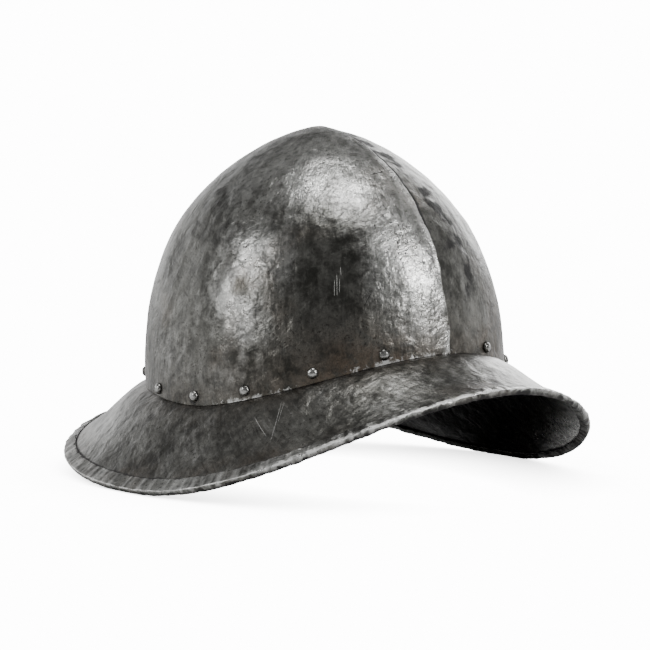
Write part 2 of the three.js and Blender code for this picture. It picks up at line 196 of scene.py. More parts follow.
@dataclass
class HelmetForm:
    """The plate surfaces that skull, brim, binding and rivets share."""

    skull_length: float = 0.240
    skull_width: float = 0.202
    skull_rise: float = 0.157
    skull_wall: float = 0.0016
    crown_set_back: float = 0.0025
    belly_set_back: float = 0.0022
    belly_power: float = 2.6
    crown_power: float = 1.57
    foot_front_rise: float = 0.031
    foot_rear_rise: float = 0.005
    foot_side_dip: float = 0.0025
    side_dip_power: float = 12.0
    ridge_height: float = 0.0011
    ridge_spread: float = 0.012
    seam_step: float = 0.0009
    seam_fade: float = 0.030
    flank_flatness: float = 0.0022
    flank_distance: float = 0.036
    flank_spread: float = 0.022
    brim_length: float = 0.341
    brim_width: float = 0.2875
    brim_squareness: float = 2.14
    brim_drop: float = 0.0488
    brim_front_rise: float = 0.0595
    brim_rear_rise: float = 0.026
    brim_sag: float = 0.002
    brim_crest: float = 0.0035
    brim_wall: float = 0.0016
    collar_height: float = 0.014
    flange_side: float = 0.0095
    flange_end: float = 0.006
    rest_spot_power: float = 8.0
    play: float = 0.0003
    brim_unrolled: float = 0.063
    seam_wander: float = 0.0016
    seam_reach: float = 0.030
    seam_sharpness: float = 0.00025
    seam_blur: float = 0.012
    seam_waves: float = 0.020
    seam_run_out: float = 0.10
    dish_waver: float = 0.14
    dish_waves: float = 0.020
    crest_peak: float = 0.25
    base: float = field(init=False)

    def __post_init__(self) -> None:
        """Takes the height of the skull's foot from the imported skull."""
        self.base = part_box("skull")[0][2] + self.foot_side_dip

    def arch(self, turn: Array, front: float, rear: float) -> Array:
        """Gives a height that is zero at the sides and set in front and behind."""
        along = np.cos(turn)
        return along**2 * np.where(along > 0, front, rear)

    def foot(self, turn: Array) -> Array:
        """Gives the skull's foot line.

        Args:
            turn: turns of the points.

        Returns:
            One place for each, above the level of the foot at the sides.
        """
        dip = self.foot_side_dip * np.abs(np.sin(turn)) ** self.side_dip_power
        height = self.arch(turn, self.foot_front_rise, self.foot_rear_rise) - dip
        across = 0.5 * self.skull_width * np.sin(turn)
        along = -0.5 * self.skull_length * np.cos(turn)
        return np.stack([across, along, height], axis=1)

    def plain_brim_end(self, turn: Array) -> Array:
        """Gives the end of the brim's plate before its unevenness.

        Args:
            turn: turns of the points.

        Returns:
            One place for each, above the level of the foot at the sides.
        """
        power = 2 / self.brim_squareness
        sine, cosine = np.sin(turn), np.cos(turn)
        across = 0.5 * self.brim_width * np.sign(sine) * np.abs(sine) ** power
        along = -0.5 * self.brim_length * np.sign(cosine) * np.abs(cosine) ** power
        arched = self.arch(turn, self.brim_front_rise, self.brim_rear_rise)
        return np.stack([across, along, arched - self.brim_drop], axis=1)

    def brim_end(self, turn: Array) -> Array:
        """Gives the end of the brim's plate on its top face.

        Args:
            turn: turns of the points.

        Returns:
            One place for each, above the level of the foot at the sides.
        """
        points = self.plain_brim_end(turn)
        lift = np.zeros(len(turn))
        for wave in EDGE_WAVES:
            centre = self.plain_brim_end(np.array([math.radians(wave.turn)]))
            radius = 0.5 * wave.wide * self.brim_length
            distance = np.linalg.norm(points - centre, axis=1)
            lift += wave.lift * self.brim_drop * bell(distance, radius)
        clear_of_sides = 1 - np.abs(np.sin(turn)) ** self.rest_spot_power
        points[:, 2] += clear_of_sides * lift
        return points

    def climb_at(self, share: Array) -> Array:
        """Gives the climb angle at which the skull has a share of its rise."""
        return np.arcsin(np.clip(share, 0, 1) ** (self.belly_power / 2))

    def climb_at_level(self, turn: Array, level: Array) -> Array:
        """Gives the climb at a level.

        Args:
            turn: turns of the points.
            level: 0 is the foot, 1 the collar's top, 2 the crown.

        Returns:
            The climb angle of each.
        """
        rise = self.skull_rise - self.foot(turn)[:, 2]
        collar_top = self.climb_at(self.collar_height / rise)
        below = self.climb_at(self.collar_height * np.minimum(level, 1) / rise)
        above = collar_top + (QUARTER - collar_top) * (level - 1)
        return np.where(level <= 1, below, above)

    def plain_skull(self, turn: Array, climb: Array) -> Array:
        """Gives the skull's outer face before its ridge and hollows.

        Args:
            turn: turns of the points.
            climb: climb angle of each, from 0 at the foot.

        Returns:
            One place for each, above the level of the foot at the sides.
        """
        foot = self.foot(turn)
        share = np.sin(climb) ** (2 / self.belly_power)
        spread = np.maximum(np.cos(climb), 0) ** (2 / self.crown_power)
        belly = 4 * self.belly_set_back * share * (1 - share)
        set_back = self.crown_set_back * share + belly
        along = foot[:, 1] * spread + set_back
        height = foot[:, 2] + (self.skull_rise - foot[:, 2]) * share
        return np.stack([foot[:, 0] * spread, along, height], axis=1)

    @staticmethod
    def normal_of(
        surface: Callable[[Array, Array], Array],
        turn: Array,
        along: Array,
        low: float,
        high: float,
    ) -> Array:
        """Gives a surface's normals from points close by.

        Args:
            surface: gives points from turns and a second parameter.
            turn: turns of the points.
            along: the second parameter.
            low: its least value.
            high: its greatest value.

        Returns:
            One unit normal for each point.
        """
        step = 0.01
        around = surface(turn + step, along) - surface(turn - step, along)
        before = surface(turn, np.maximum(along - step, low))
        after = surface(turn, np.minimum(along + step, high))
        return unit(np.cross(around, after - before))

    def skull_normal(self, turn: Array, climb: Array) -> Array:
        """Gives the outward normal of the skull's plain face."""
        normal = self.normal_of(self.plain_skull, turn, climb, 0, QUARTER)
        normal[QUARTER - climb < 1e-6] = (0, 0, 1)
        return normal

    def seam_line(self, points: Array) -> Array:
        """Gives how far the seam wanders from the middle plane.

        Args:
            points: places on the skull's plain face.

        Returns:
            How far it lies toward the wearer's left, 0 far from it.
        """
        wander = np.zeros(len(points))
        near = np.abs(points[:, 0]) < self.seam_reach
        flat = points[near] * (0.0, 1.0, 1.0)
        wander[near] = self.seam_wander * fractal(flat, self.seam_waves, 4, 4.1)
        return wander

    def relief(self, points: Array, blur: float = 0.0) -> Array:
        """Gives how far the ridge stands out, less the flanks and hollows.

        Args:
            points: places on the skull's plain face.
            blur: how far the seam's step is spread out, in metres.

        Returns:
            The height above the plain face.
        """
        side = points[:, 0] - self.seam_line(points)
        aside = np.abs(side)
        proud = 0.5 - 0.5 * np.tanh(side / (self.seam_sharpness + blur))
        height = self.ridge_height * np.exp(-aside / self.ridge_spread)
        height += self.seam_step * proud * np.exp(-aside / self.seam_fade)
        below_crown = np.maximum(0, 1 - points[:, 2] / self.skull_rise)
        flank = bell(aside - self.flank_distance, self.flank_spread)
        height -= self.flank_flatness * below_crown * flank
        for hollow in HOLLOWS:
            centre = self.skull_place(hollow.turn, hollow.up)
            radius = 0.5 * hollow.across * self.skull_width
            distance = np.linalg.norm(points - centre, axis=1)
            height -= hollow.deep * self.skull_wall * bell(distance, radius)
        return height

    def dished(self, points: Array) -> Array:
        """Gives the depth of the crisp-edged dishes that the planishing left.

        Args:
            points: places on the skull's plain face.

        Returns:
            The depth at each point.
        """
        depth = np.zeros(len(points))
        for dish in DISHES:
            centre = self.skull_place(dish.turn, dish.up)
            radius = 0.5 * dish.across * self.skull_width
            wavy = 1 + self.dish_waver * fractal(points, self.dish_waves, 3, dish.turn)
            distance = np.linalg.norm(points - centre, axis=1) * wavy
            within = np.maximum(0, 1 - (distance / radius) ** 2)
            depth = np.maximum(depth, dish.deep * self.skull_wall * within)
        return depth

    def skull(self, turn: Array, climb: Array, depth: Array) -> Array:
        """Gives points in the skull's plate at a depth below its outer face.

        Args:
            turn: turns of the points.
            climb: climb angle of each, from 0 at the foot.
            depth: how far below the outer face each lies.

        Returns:
            One place for each, above the level of the foot at the sides.
        """
        points = self.plain_skull(turn, climb)
        out = (self.relief(points) - depth)[:, None]
        return points + self.skull_normal(turn, climb) * out

    def brim_top(self, turn: Array, out: Array) -> Array:
        """Gives the brim's top face.

        Args:
            turn: turns of the points.
            out: 0 is the skull's foot, 1 the plate's end.

        Returns:
            One place for each, above the level of the foot at the sides.
        """
        foot = np.zeros(len(turn))
        plain = self.plain_skull(turn, foot)
        seam_share = 1 - smooth_step(out, 0.0, self.seam_run_out)
        height = self.relief(plain, self.seam_blur)
        height += seam_share * (self.relief(plain) - height)
        start = plain + self.skull_normal(turn, foot) * height[:, None]
        points = start + (self.brim_end(turn) - start) * out[:, None]
        inward = 1 - out
        crest = out * inward**3 / (self.crest_peak * (1 - self.crest_peak) ** 3)
        points[:, 2] += self.brim_crest * crest - 4 * self.brim_sag * out * inward
        return points

    def brim(self, turn: Array, out: Array, depth: Array) -> Array:
        """Gives points in the brim's plate at a depth below its top face."""
        normal = -self.normal_of(self.brim_top, turn, out, -1, 2)
        return self.brim_top(turn, out) - normal * depth[:, None]

    def brim_slope(self, turn: Array) -> Array:
        """Gives the brim's fall for each metre outward, next to the skull.

        Args:
            turn: turns of the points.

        Returns:
            The fall at each turn.
        """
        near = self.brim_top(turn, np.zeros(len(turn)))
        far = self.brim_top(turn, np.full(len(turn), 0.1))
        step = far - near
        return -step[:, 2] / np.hypot(step[:, 0], step[:, 1])

    def brim_reach(self, turn: Array) -> Array:
        """Gives the brim's width at each turn."""
        inner = self.brim_top(turn, np.zeros(len(turn)))
        return np.linalg.norm(self.brim_top(turn, np.ones(len(turn))) - inner, axis=1)

    def flange_line(self, turn: Array) -> Array:
        """Gives where the binding's upper flange ends, as a share of the way out."""
        wider = (self.flange_side - self.flange_end) * np.sin(turn) ** 2
        return 1 - (self.flange_end + wider) / self.brim_reach(turn)

    def skull_place(self, turn_degrees: float, up: float) -> Array:
        """Gives the place on the plain skull of a turn and a share of its rise."""
        turn = np.array([math.radians(turn_degrees)])
        return self.plain_skull(turn, self.climb_at(np.array([up])))

    def brim_place(self, turn_degrees: float, out: float) -> Array:
        """Gives the place on the brim of a turn and a share of the way out."""
        return self.brim_top(np.array([math.radians(turn_degrees)]), np.array([out]))

    def skull_girth(self) -> float:
        """Gives the distance round the skull's foot."""
        return math.pi * 0.5 * (self.skull_width + self.skull_length)

    def skull_wrap_height(self, level: Array) -> Array:
        """Gives the distance up the skull's section at a level."""
        arc = 0.25 * math.pi * (0.5 * self.skull_width + self.skull_rise)
        collar = self.collar_height * np.minimum(level, 1)
        return collar + arc * np.maximum(level - 1, 0)

    def skull_wrap(self, turn_degrees: float, up: float) -> tuple[float, float]:
        """Gives the place in the skull's wrap of a turn and a share of its rise.

        Args:
            turn_degrees: the turn.
            up: share of the skull's rise.

        Returns:
            The distance round and the distance up.
        """
        turn = np.array([math.radians(turn_degrees)])
        rise = self.skull_rise - self.foot(turn)[:, 2]
        collar_top = self.climb_at(self.collar_height / rise)
        above_collar = self.climb_at(np.array([up])) - collar_top
        level = 1 + above_collar / (QUARTER - collar_top)
        around = (turn_degrees / 360 + 0.5) * self.skull_girth()
        return around, float(self.skull_wrap_height(level)[0])

    def brim_girth(self) -> float:
        """Gives the distance round the brim's edge."""
        return math.pi * 0.5 * (self.brim_width + self.brim_length)

    def brim_wrap(self, turn_degrees: float, out: float) -> tuple[float, float]:
        """Gives the place in the brim's wrap of a turn and a share of its width."""
        return (turn_degrees / 360 + 0.5) * self.brim_girth(), out * self.brim_unrolled

    def placed(self, points: Array) -> Array:
        """Moves points from the foot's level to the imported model's frame."""
        return points + (0.0, 0.0, self.base)


@dataclass
class PressedRing:
    """A section spun round the helmet's axis and pressed into shape.

    Attributes:
        name: name of the piece.
        columns: how many steps the spin takes.
        crowding: how far the columns crowd toward the middle plane.
        folds: how many like sectors the ring is made of, a power of two.
    """

    name: str
    columns: int
    crowding: float
    folds: int = field(default=16, kw_only=True)

    def spin(self, stations: Sequence[dict], closed: bool) -> Mesh:
        """Spins the section's stations into a plain ring or bowl.

        Args:
            stations: each with radius and height, and the values it carries as layers.
            closed: whether the last station joins the first.

        Returns:
            The mesh, with one float layer for each value.
        """
        mesh = bmesh.new()
        keys = [key for key in stations[0] if key not in ("radius", "height")]
        layers = {key: mesh.verts.layers.float.new(key) for key in keys}
        corners = []
        for station in stations:
            corner = mesh.verts.new((0.0, -station["radius"], station["height"]))
            for key, layer in layers.items():
                corner[layer] = station[key]
            corners.append(corner)
        pairs = list(zip(corners, corners[1:]))
        if closed:
            pairs.append((corners[-1], corners[0]))
        edges = [mesh.edges.new(pair) for pair in pairs]
        sector = 2 * math.pi / self.folds
        bmesh.ops.spin(
            mesh,
            geom=corners + edges,
            cent=(0, 0, 0),
            axis=(0, 0, 1),
            angle=sector,
            steps=self.columns // self.folds,
            use_merge=False,
            use_duplicate=False,
        )
        filled = 1
        while filled < self.folds:
            whole = mesh.verts[:] + mesh.edges[:] + mesh.faces[:]
            copied = bmesh.ops.duplicate(mesh, geom=whole)["geom"]
            corners = [part for part in copied if isinstance(part, bmesh.types.BMVert)]
            onward = Matrix.Rotation(sector * filled, 3, "Z")
            bmesh.ops.rotate(mesh, verts=corners, cent=(0, 0, 0), matrix=onward)
            filled *= 2
        bmesh.ops.remove_doubles(mesh, verts=mesh.verts[:], dist=WELD)
        return mesh

    def turns(self, mesh: Mesh) -> Array:
        """Gives each vertex's turn, crowded toward the middle plane."""
        even = np.array([math.atan2(v.co.x, -v.co.y) for v in mesh.verts])
        return even - 0.5 * self.crowding * np.sin(2 * even)

    @staticmethod
    def layer(mesh: Mesh, key: str) -> Array:
        """Gives one of the values that the vertices carry."""
        held = mesh.verts.layers.float[key]
        return np.array([v[held] for v in mesh.verts])

    @staticmethod
    def press(mesh: Mesh, points: Array) -> None:
        """Moves each vertex to its place."""
        for vertex, point in zip(mesh.verts, points.tolist()):
            vertex.co = point

    @staticmethod
    def paint(mesh: Mesh, key: str, values: Array) -> None:
        """Stores a value on each vertex, for the finish to read."""
        layer = mesh.verts.layers.float.get(key) or mesh.verts.layers.float.new(key)
        for vertex, value in zip(mesh.verts, values.tolist()):
            vertex[layer] = value

    @staticmethod
    def unwrap(mesh: Mesh, turn: Array, up: Array, girth: float) -> None:
        """Lays a UV map round the piece, in metres, with its seam behind.

        Args:
            mesh: the piece.
            turn: turn of each vertex.
            up: distance of each vertex along the section.
            girth: distance round the piece.
        """
        uv = mesh.loops.layers.uv.new("Wrap")
        mesh.verts.index_update()
        share = (turn / (2 * math.pi) + 0.5) % 1.0
        for face in mesh.faces:
            around = [share[loop.vert.index] for loop in face.loops]
            wraps = max(around) - min(around) > 0.5
            for loop, value in zip(face.loops, around):
                if wraps and value < 0.5:
                    value += 1.0
                loop[uv].uv = (value * girth, up[loop.vert.index])

    def finish(self, mesh: Mesh, sharp_degrees: float) -> Piece:
        """Turns the mesh into a smooth-shaded object in the scene.

        Args:
            mesh: the finished mesh, which is freed.
            sharp_degrees: edges folded by more than this stay sharp.

        Returns:
            The object.
        """
        bmesh.ops.recalc_face_normals(mesh, faces=mesh.faces[:])
        return object_from(mesh, self.name, sharp_degrees)


def object_from(mesh: Mesh, name: str, sharp_degrees: float) -> Piece:
    """Makes a smooth-shaded object of a bmesh and frees it.

    Args:
        mesh: the mesh.
        name: name of the object and its data.
        sharp_degrees: edges folded by more than this stay sharp.

    Returns:
        The object, linked to the scene.
    """
    for face in mesh.faces:
        face.smooth = True
    data = bpy.data.meshes.new(name)
    mesh.to_mesh(data)
    mesh.free()
    data.set_sharp_from_angle(angle=math.radians(sharp_degrees))
    piece = bpy.data.objects.new(name, data)
    bpy.context.scene.collection.objects.link(piece)
    return piece


class Lay(Enum):
    """Which way the brush marks run, in degrees from straight up the section."""

    UPRIGHT = 0.0
    SLANTED = 38.0


@dataclass(frozen=True)
class Scratch:
    """A single scratch or nick.

    Attributes:
        turn: degrees round from the front toward the left side.
        up: share of the skull's rise, or of the brim's width outward.
        length: in metres.
        width: in metres.
        lean: degrees from straight up the section.
        open: whether it is a dark open nick, not a bright line.
    """

    turn: float
    up: float
    length: float
    width: float
    lean: float
    open: bool = False


@dataclass(frozen=True)
class SteelFinish:
    """One piece's steel: its tones, gloss and marks.

    Attributes:
        name: name of the material.
        dark: colour of the patina.
        middle: colour of the plain forged face.
        bright: colour of abraded metal and of the painted highlights and glints.
        rust: colour of the brown tint.
        gloss: roughness of the rubbed metal.
        dull: roughness of the patina.
        lay: which way the brush marks run.
        streak: share of the tone that the brush marks change.
        crinkle: height of the fine forged texture, in metres.
        pitting: share of the tone that the dark pits change.
        scratches: middle of each scratch in the wrap's metres, with the scratch.
    """

    name: str
    dark: tuple = (0.036, 0.0358, 0.0320)
    middle: tuple = (0.098, 0.0975, 0.0895)
    bright: tuple = (0.48, 0.48, 0.465)
    rust: tuple = (0.085, 0.064, 0.046)
    gloss: float = 0.25
    dull: float = 0.36
    lay: Lay = Lay.UPRIGHT
    streak: float = 0.35
    crinkle: float = 0.00050
    pitting: float = 0.45
    scratches: tuple = ()


@dataclass(frozen=True)
class Grain:
    """One scale of soft noise in the steel.

    Attributes:
        size: width of its largest features, in metres.
        detail: how many finer layers it has.
        rough: strength of the finer layers.
        swirl: how far it is stirred.
    """

    size: float
    detail: float = 4.0
    rough: float = 0.55
    swirl: float = 0.0


CLOUD = Grain(0.030, 5)
MOTTLE = Grain(0.0075, 8, 0.66, 0.2)
CRINKLE = Grain(0.0036, 8, 0.68, 0.6)
LUMPS = Grain(0.0110, 1.5, 0.5, 0.6)
FOLDS = Grain(0.0028, 3.0, 0.65, 1.0)
GRIT = Grain(0.0018, 1.0, 0.5)
STREAKS = Grain(0.0034, 6, 0.66, 0.8)
BRUSH = Grain(0.0030, 1.5, 0.6, 0.8)
BROAD = Grain(0.012, 4)

FOLD_TURN = 72
BROAD_TURN = 8
OPENED = (0.008, 0.008, 0.007)
DIRT_AND_SHADE = (0.009, 0.0085, 0.008)
SOOT_AND_SHADE = (0.006, 0.006, 0.0055)
WORN_SOOT_AND_SHADE = (0.05, 0.05, 0.047)
SCORE_DEPTH = 0.00012


def shade(colour: tuple, factor: float = 1.0) -> tuple:
    """Gives a colour times a factor, with its alpha."""
    return (*(factor * part for part in colour), 1)


class NodeBench:
    """Lays out a node tree with short calls."""

    def __init__(self, owner: Union[bpy.types.Material, bpy.types.World]) -> None:
        """Starts on the emptied node tree of a material or world.

        Args:
            owner: the material or world.
        """
        self.owner = owner
        owner.use_nodes = True
        self.tree = owner.node_tree
        self.tree.nodes.clear()

    def node(self, kind: str, **settings: object) -> bpy.types.Node:
        """Adds a node.

        Args:
            kind: its type.
            settings: its properties.

        Returns:
            The node.
        """
        made = self.tree.nodes.new(kind)
        for key, value in settings.items():
            setattr(made, key, value)
        return made

    def feed(self, socket: bpy.types.NodeSocket, value: Socket) -> None:
        """Links a socket to another, or sets its value.

        Args:
            socket: the input.
            value: another node's output, or a value.
        """
        if isinstance(value, bpy.types.NodeSocket):
            self.tree.links.new(value, socket)
        else:
            socket.default_value = value

    def fill(self, made: bpy.types.Node, values: dict) -> bpy.types.Node:
        """Feeds some of a node's inputs.

        Args:
            made: the node.
            values: what each input gets, by its name or number.

        Returns:
            The node.
        """
        for key, value in values.items():
            self.feed(made.inputs[key], value)
        return made

    def math(
        self, operation: str, a: Socket, b: Socket = 0.0, clamp: bool = False
    ) -> Socket:
        """Works out one sum, product or other of two numbers."""
        made = self.node("ShaderNodeMath", operation=operation, use_clamp=clamp)
        return self.fill(made, {0: a, 1: b}).outputs[0]

    def times(self, a: Socket, b: Socket) -> Socket:
        """Multiplies two numbers."""
        return self.math("MULTIPLY", a, b)

    def plus(self, a: Socket, b: Socket) -> Socket:
        """Adds two numbers."""
        return self.math("ADD", a, b)

    def most(self, a: Socket, b: Socket) -> Socket:
        """Gives the greater of two numbers."""
        return self.math("MAXIMUM", a, b)

    def scaled(self, value: Socket, factor: Socket, extra: float) -> Socket:
        """Multiplies a number and adds to it."""
        made = self.node("ShaderNodeMath", operation="MULTIPLY_ADD")
        return self.fill(made, {0: value, 1: factor, 2: extra}).outputs[0]

    def around_zero(self, value: Socket, strength: float) -> Socket:
        """Turns a value about one half into one about zero, of a strength."""
        return self.scaled(value, strength, -0.5 * strength)

    def mix(self, share: Socket, a: Socket, b: Socket) -> Socket:
        """Mixes two colours by a share."""
        made = self.node("ShaderNodeMix", data_type="RGBA")
        return self.fill(made, {0: share, 6: a, 7: b}).outputs[2]

    def between(
        self,
        value: Socket,
        low: float,
        high: float,
        start: float = 0.0,
        end: float = 1.0,
    ) -> Socket:
        """Goes smoothly from start at low to end at high."""
        made = self.node("ShaderNodeMapRange", interpolation_type="SMOOTHSTEP")
        return self.fill(made, {0: value, 1: low, 2: high, 3: start, 4: end}).outputs[0]

    def spread(self, value: Socket, low: float, high: float) -> Socket:
        """Maps 0 to 1 evenly onto low to high."""
        made = self.node("ShaderNodeMapRange")
        return self.fill(made, {0: value, 3: low, 4: high}).outputs[0]

    def mottle(self, place: Socket, grain: Grain) -> Socket:
        """Gives soft noise.

        Args:
            place: where it is read.
            grain: its scale.

        Returns:
            A value about one half.
        """
        made = self.node("ShaderNodeTexNoise")
        self.fill(made, {"Vector": place, "Scale": 1 / grain.size})
        self.fill(made, {"Detail": grain.detail, "Roughness": grain.rough})
        return self.fill(made, {"Distortion": grain.swirl}).outputs["Fac"]

    def mapped(self, place: Socket, **changes: tuple) -> Socket:
        """Moves, turns or stretches a place, by the input's lower-case name."""
        values = {key.capitalize(): value for key, value in changes.items()}
        made = self.node("ShaderNodeMapping")
        return self.fill(made, {"Vector": place, **values}).outputs[0]

    def turned(self, place: Socket, degrees: float, stretch: tuple) -> Socket:
        """Turns a place about Z and stretches its axes."""
        spun = self.mapped(place, rotation=(0, 0, math.radians(degrees)))
        return self.mapped(spun, scale=stretch)

    def held(self, key: str) -> Socket:
        """Reads a value that the vertices carry."""
        return self.node("ShaderNodeAttribute", attribute_name=key).outputs["Fac"]

    def stroke(self, wrap: Socket, middle: tuple, scratch: Scratch) -> Socket:
        """Gives 1 on one scratch and 0 beside it.

        Args:
            wrap: place in the wrap's metres.
            middle: the scratch's middle there.
            scratch: its length, width and lean.

        Returns:
            The mask.
        """
        moved = self.mapped(wrap, location=(-middle[0], -middle[1], 0))
        stretch = (2 / scratch.width, 2 / scratch.length, 1)
        lying = self.turned(moved, scratch.lean, stretch)
        parts = self.fill(self.node("ShaderNodeSeparateXYZ"), {0: lying})
        beside = self.between(self.math("ABSOLUTE", parts.outputs[0]), 1.0, 0.3)
        ends = self.between(self.math("ABSOLUTE", parts.outputs[1]), 1.0, 0.5)
        return self.times(beside, ends)

    def strokes(self, wrap: Socket, scratches: Iterable[tuple], opened: bool) -> Socket:
        """Gives 1 on the scratches that are open nicks, or on those that aren't.

        Args:
            wrap: place in the wrap's metres.
            scratches: middle of each scratch there, with the scratch.
            opened: which of the two to give.

        Returns:
            The mask.
        """
        found: Socket = 0.0
        for middle, scratch in scratches:
            if scratch.open == opened:
                found = self.most(self.stroke(wrap, middle, scratch), found)
        return found

    def bump(
        self,
        height: Socket,
        metres: float,
        under: Optional[Socket] = None,
        share: Socket = 1.0,
    ) -> Socket:
        """Raises the surface by a height map.

        Args:
            height: the map, from 0 to 1.
            metres: its amplitude.
            under: the normal that it is laid on.
            share: how much of it is felt.

        Returns:
            The new normal.
        """
        made = self.node("ShaderNodeBump")
        self.fill(made, {"Strength": share, "Distance": metres, "Height": height})
        if under is not None:
            self.feed(made.inputs["Normal"], under)
        return made.outputs[0]

    def show(self, kind: str, others: Socket, eye: Socket) -> None:
        """Gives the camera one shader and every other ray another.

        Args:
            kind: type of the output node.
            others: the shader for every other ray.
            eye: the shader for the camera.
        """
        seen = self.node("ShaderNodeLightPath").outputs["Is Camera Ray"]
        chosen = self.node("ShaderNodeMixShader")
        self.fill(chosen, {0: seen, 1: others, 2: eye})
        self.fill(self.node(kind), {0: chosen.outputs[0]})


def forged_steel(finish: SteelFinish) -> bpy.types.Material:
    """Makes a forged steel that reads the polish, grime, rust, burr and inside values,
    with their painted highlights, glints and shade.

    Args:
        finish: the piece's steel.

    Returns:
        The material.
    """
    bench = NodeBench(bpy.data.materials.new(finish.name))
    here = bench.node("ShaderNodeTexCoord").outputs["Object"]
    wrap = bench.node("ShaderNodeUVMap", uv_map="Wrap").outputs[0]
    lay = finish.lay.value
    cloud = bench.mottle(here, CLOUD)
    mottle = bench.mottle(here, MOTTLE)
    crinkle = bench.mottle(here, CRINKLE)
    lumps = bench.mottle(here, LUMPS)
    folds = bench.mottle(bench.turned(wrap, FOLD_TURN, (1.0, 0.5, 1.0)), FOLDS)
    grain = bench.mottle(here, GRIT)
    brushed = bench.turned(wrap, lay, (1.0, 0.16, 1.0))
    streaks = bench.mottle(brushed, STREAKS)
    brush = bench.mottle(brushed, BRUSH)
    broad = bench.mottle(bench.turned(wrap, lay + BROAD_TURN, (1.0, 0.25, 1.0)), BROAD)

    # Mixes toward the bright colour where the vertex values run high: abraded metal and
    # painted highlights; low values leave painted shade.
    ragged = bench.around_zero(mottle, 0.9)
    uneven = bench.around_zero(broad, 0.6)
    fretted = bench.around_zero(crinkle, 0.7)
    wear_and_highlight = bench.plus(bench.held("polish_and_highlight"), bench.plus(ragged, uneven))
    rubbed_and_highlit = bench.between(bench.plus(wear_and_highlight, fretted), -0.05, 1.10)

    patina = bench.between(cloud, 0.36, 0.66)
    tone = bench.mix(patina, shade(finish.dark), shade(finish.middle))
    lifted = bench.times(bench.between(mottle, 0.40, 0.66), 0.55)
    tone = bench.mix(lifted, tone, shade(finish.middle, 1.5))
    steel = bench.mix(rubbed_and_highlit, tone, shade(finish.bright))
    darker = bench.times(bench.between(streaks, 0.50, 0.30), finish.streak)
    steel = bench.mix(darker, steel, shade(finish.dark))
    lighter = bench.times(bench.between(streaks, 0.54, 0.76), 0.5 * finish.streak)
    steel = bench.mix(lighter, steel, shade(finish.bright, 0.6))
    pits = bench.times(bench.between(crinkle, 0.42, 0.28), finish.pitting)
    steel = bench.mix(pits, steel, shade(finish.dark, 0.4))
    seams = bench.math("ABSOLUTE", bench.around_zero(folds, 1.0))
    nicks = bench.times(
        bench.between(seams, 0.014, 0.002), bench.between(cloud, 0.44, 0.60)
    )
    specks = bench.times(
        bench.between(grain, 0.36, 0.29), bench.between(cloud, 0.42, 0.58)
    )
    nicks = bench.times(bench.most(nicks, specks), 0.7)
    steel = bench.mix(nicks, steel, shade(finish.dark, 0.5))
    rusty = bench.times(bench.held("rust"), bench.between(mottle, 0.30, 0.62))
    steel = bench.mix(rusty, steel, shade(finish.rust))
    scored = bench.strokes(wrap, finish.scratches, False)
    opened = bench.strokes(wrap, finish.scratches, True)
    steel = bench.mix(scored, steel, shade(finish.bright, 0.7))
    steel = bench.mix(opened, steel, shade(OPENED))
    speck = bench.around_zero(crinkle, 1.2)
    # Darkens toward near black by the vertex values: real dirt, and painted shade in
    # joins, creases and along the seam.
    dirt_and_shade_mask = bench.between(bench.plus(bench.held("dirt_and_shade"), speck), 0.25, 0.85)
    steel = bench.mix(dirt_and_shade_mask, steel, shade(DIRT_AND_SHADE))
    # Bright ragged marks from the burr values: real burrs, and painted glints along the
    # seam's edge and the binding's upper corner.
    burr_and_glint = bench.plus(crinkle, bench.times(bench.held("burr"), 0.42))
    burr_glint_mask = bench.between(burr_and_glint, 0.68, 0.84)
    steel = bench.mix(burr_glint_mask, steel, shade(finish.bright, 0.9))
    # Near-black colour on the inner faces: blackened steel, and painted shade for the
    # hollow.
    soot_and_shade = bench.mix(bench.between(streaks, 0.50, 0.78), shade(SOOT_AND_SHADE), shade(WORN_SOOT_AND_SHADE))
    steel = bench.mix(bench.held("inside"), steel, soot_and_shade)

    rough = bench.spread(rubbed_and_highlit, finish.dull, finish.gloss)
    rough = bench.plus(rough, bench.spread(streaks, -0.07, 0.09))
    rough = bench.plus(rough, bench.spread(grain, -0.06, 0.06))
    rough = bench.math("ADD", rough, bench.times(dirt_and_shade_mask, 0.3), clamp=True)
    frosted = bench.most(scored, burr_glint_mask)
    matt = bench.most(bench.times(dirt_and_shade_mask, 0.5), bench.times(frosted, 0.65))
    metal = bench.math("SUBTRACT", 1.0, matt)

    normal = bench.bump(lumps, 2.2 * finish.crinkle)
    normal = bench.bump(folds, finish.crinkle, normal, bench.spread(rubbed_and_highlit, 0.5, 1.0))
    for marks in (brush, grain):
        normal = bench.bump(marks, 0.25 * finish.crinkle, normal)
    if finish.scratches:
        normal = bench.bump(scored, -SCORE_DEPTH, normal)

    shader = bench.node("ShaderNodeBsdfPrincipled")
    bench.fill(shader, {"Base Color": steel, "Roughness": rough})
    bench.fill(shader, {"Metallic": metal, "Normal": normal})
    bench.fill(bench.node("ShaderNodeOutputMaterial"), {0: shader.outputs[0]})
    return bench.owner


def patch_values(
    points: Array, patches: Iterable[Patch], centre_of: Callable[[float, float], Array]
) -> Array:
    """Adds up soft patches at each point.

    Args:
        points: places above the foot's level.
        patches: the patches to lay down.
        centre_of: gives a patch's middle from its turn and height.

    Returns:
        The summed strength at each point.
    """
    total = np.zeros(len(points))
    for patch in patches:
        away = points - centre_of(patch.turn, patch.up)
        sideways = np.hypot(away[:, 0], away[:, 1]) / patch.wide
        upward = away[:, 2] / patch.tall
        total += patch.amount * np.exp(-(sideways**2 + upward**2))
    return total
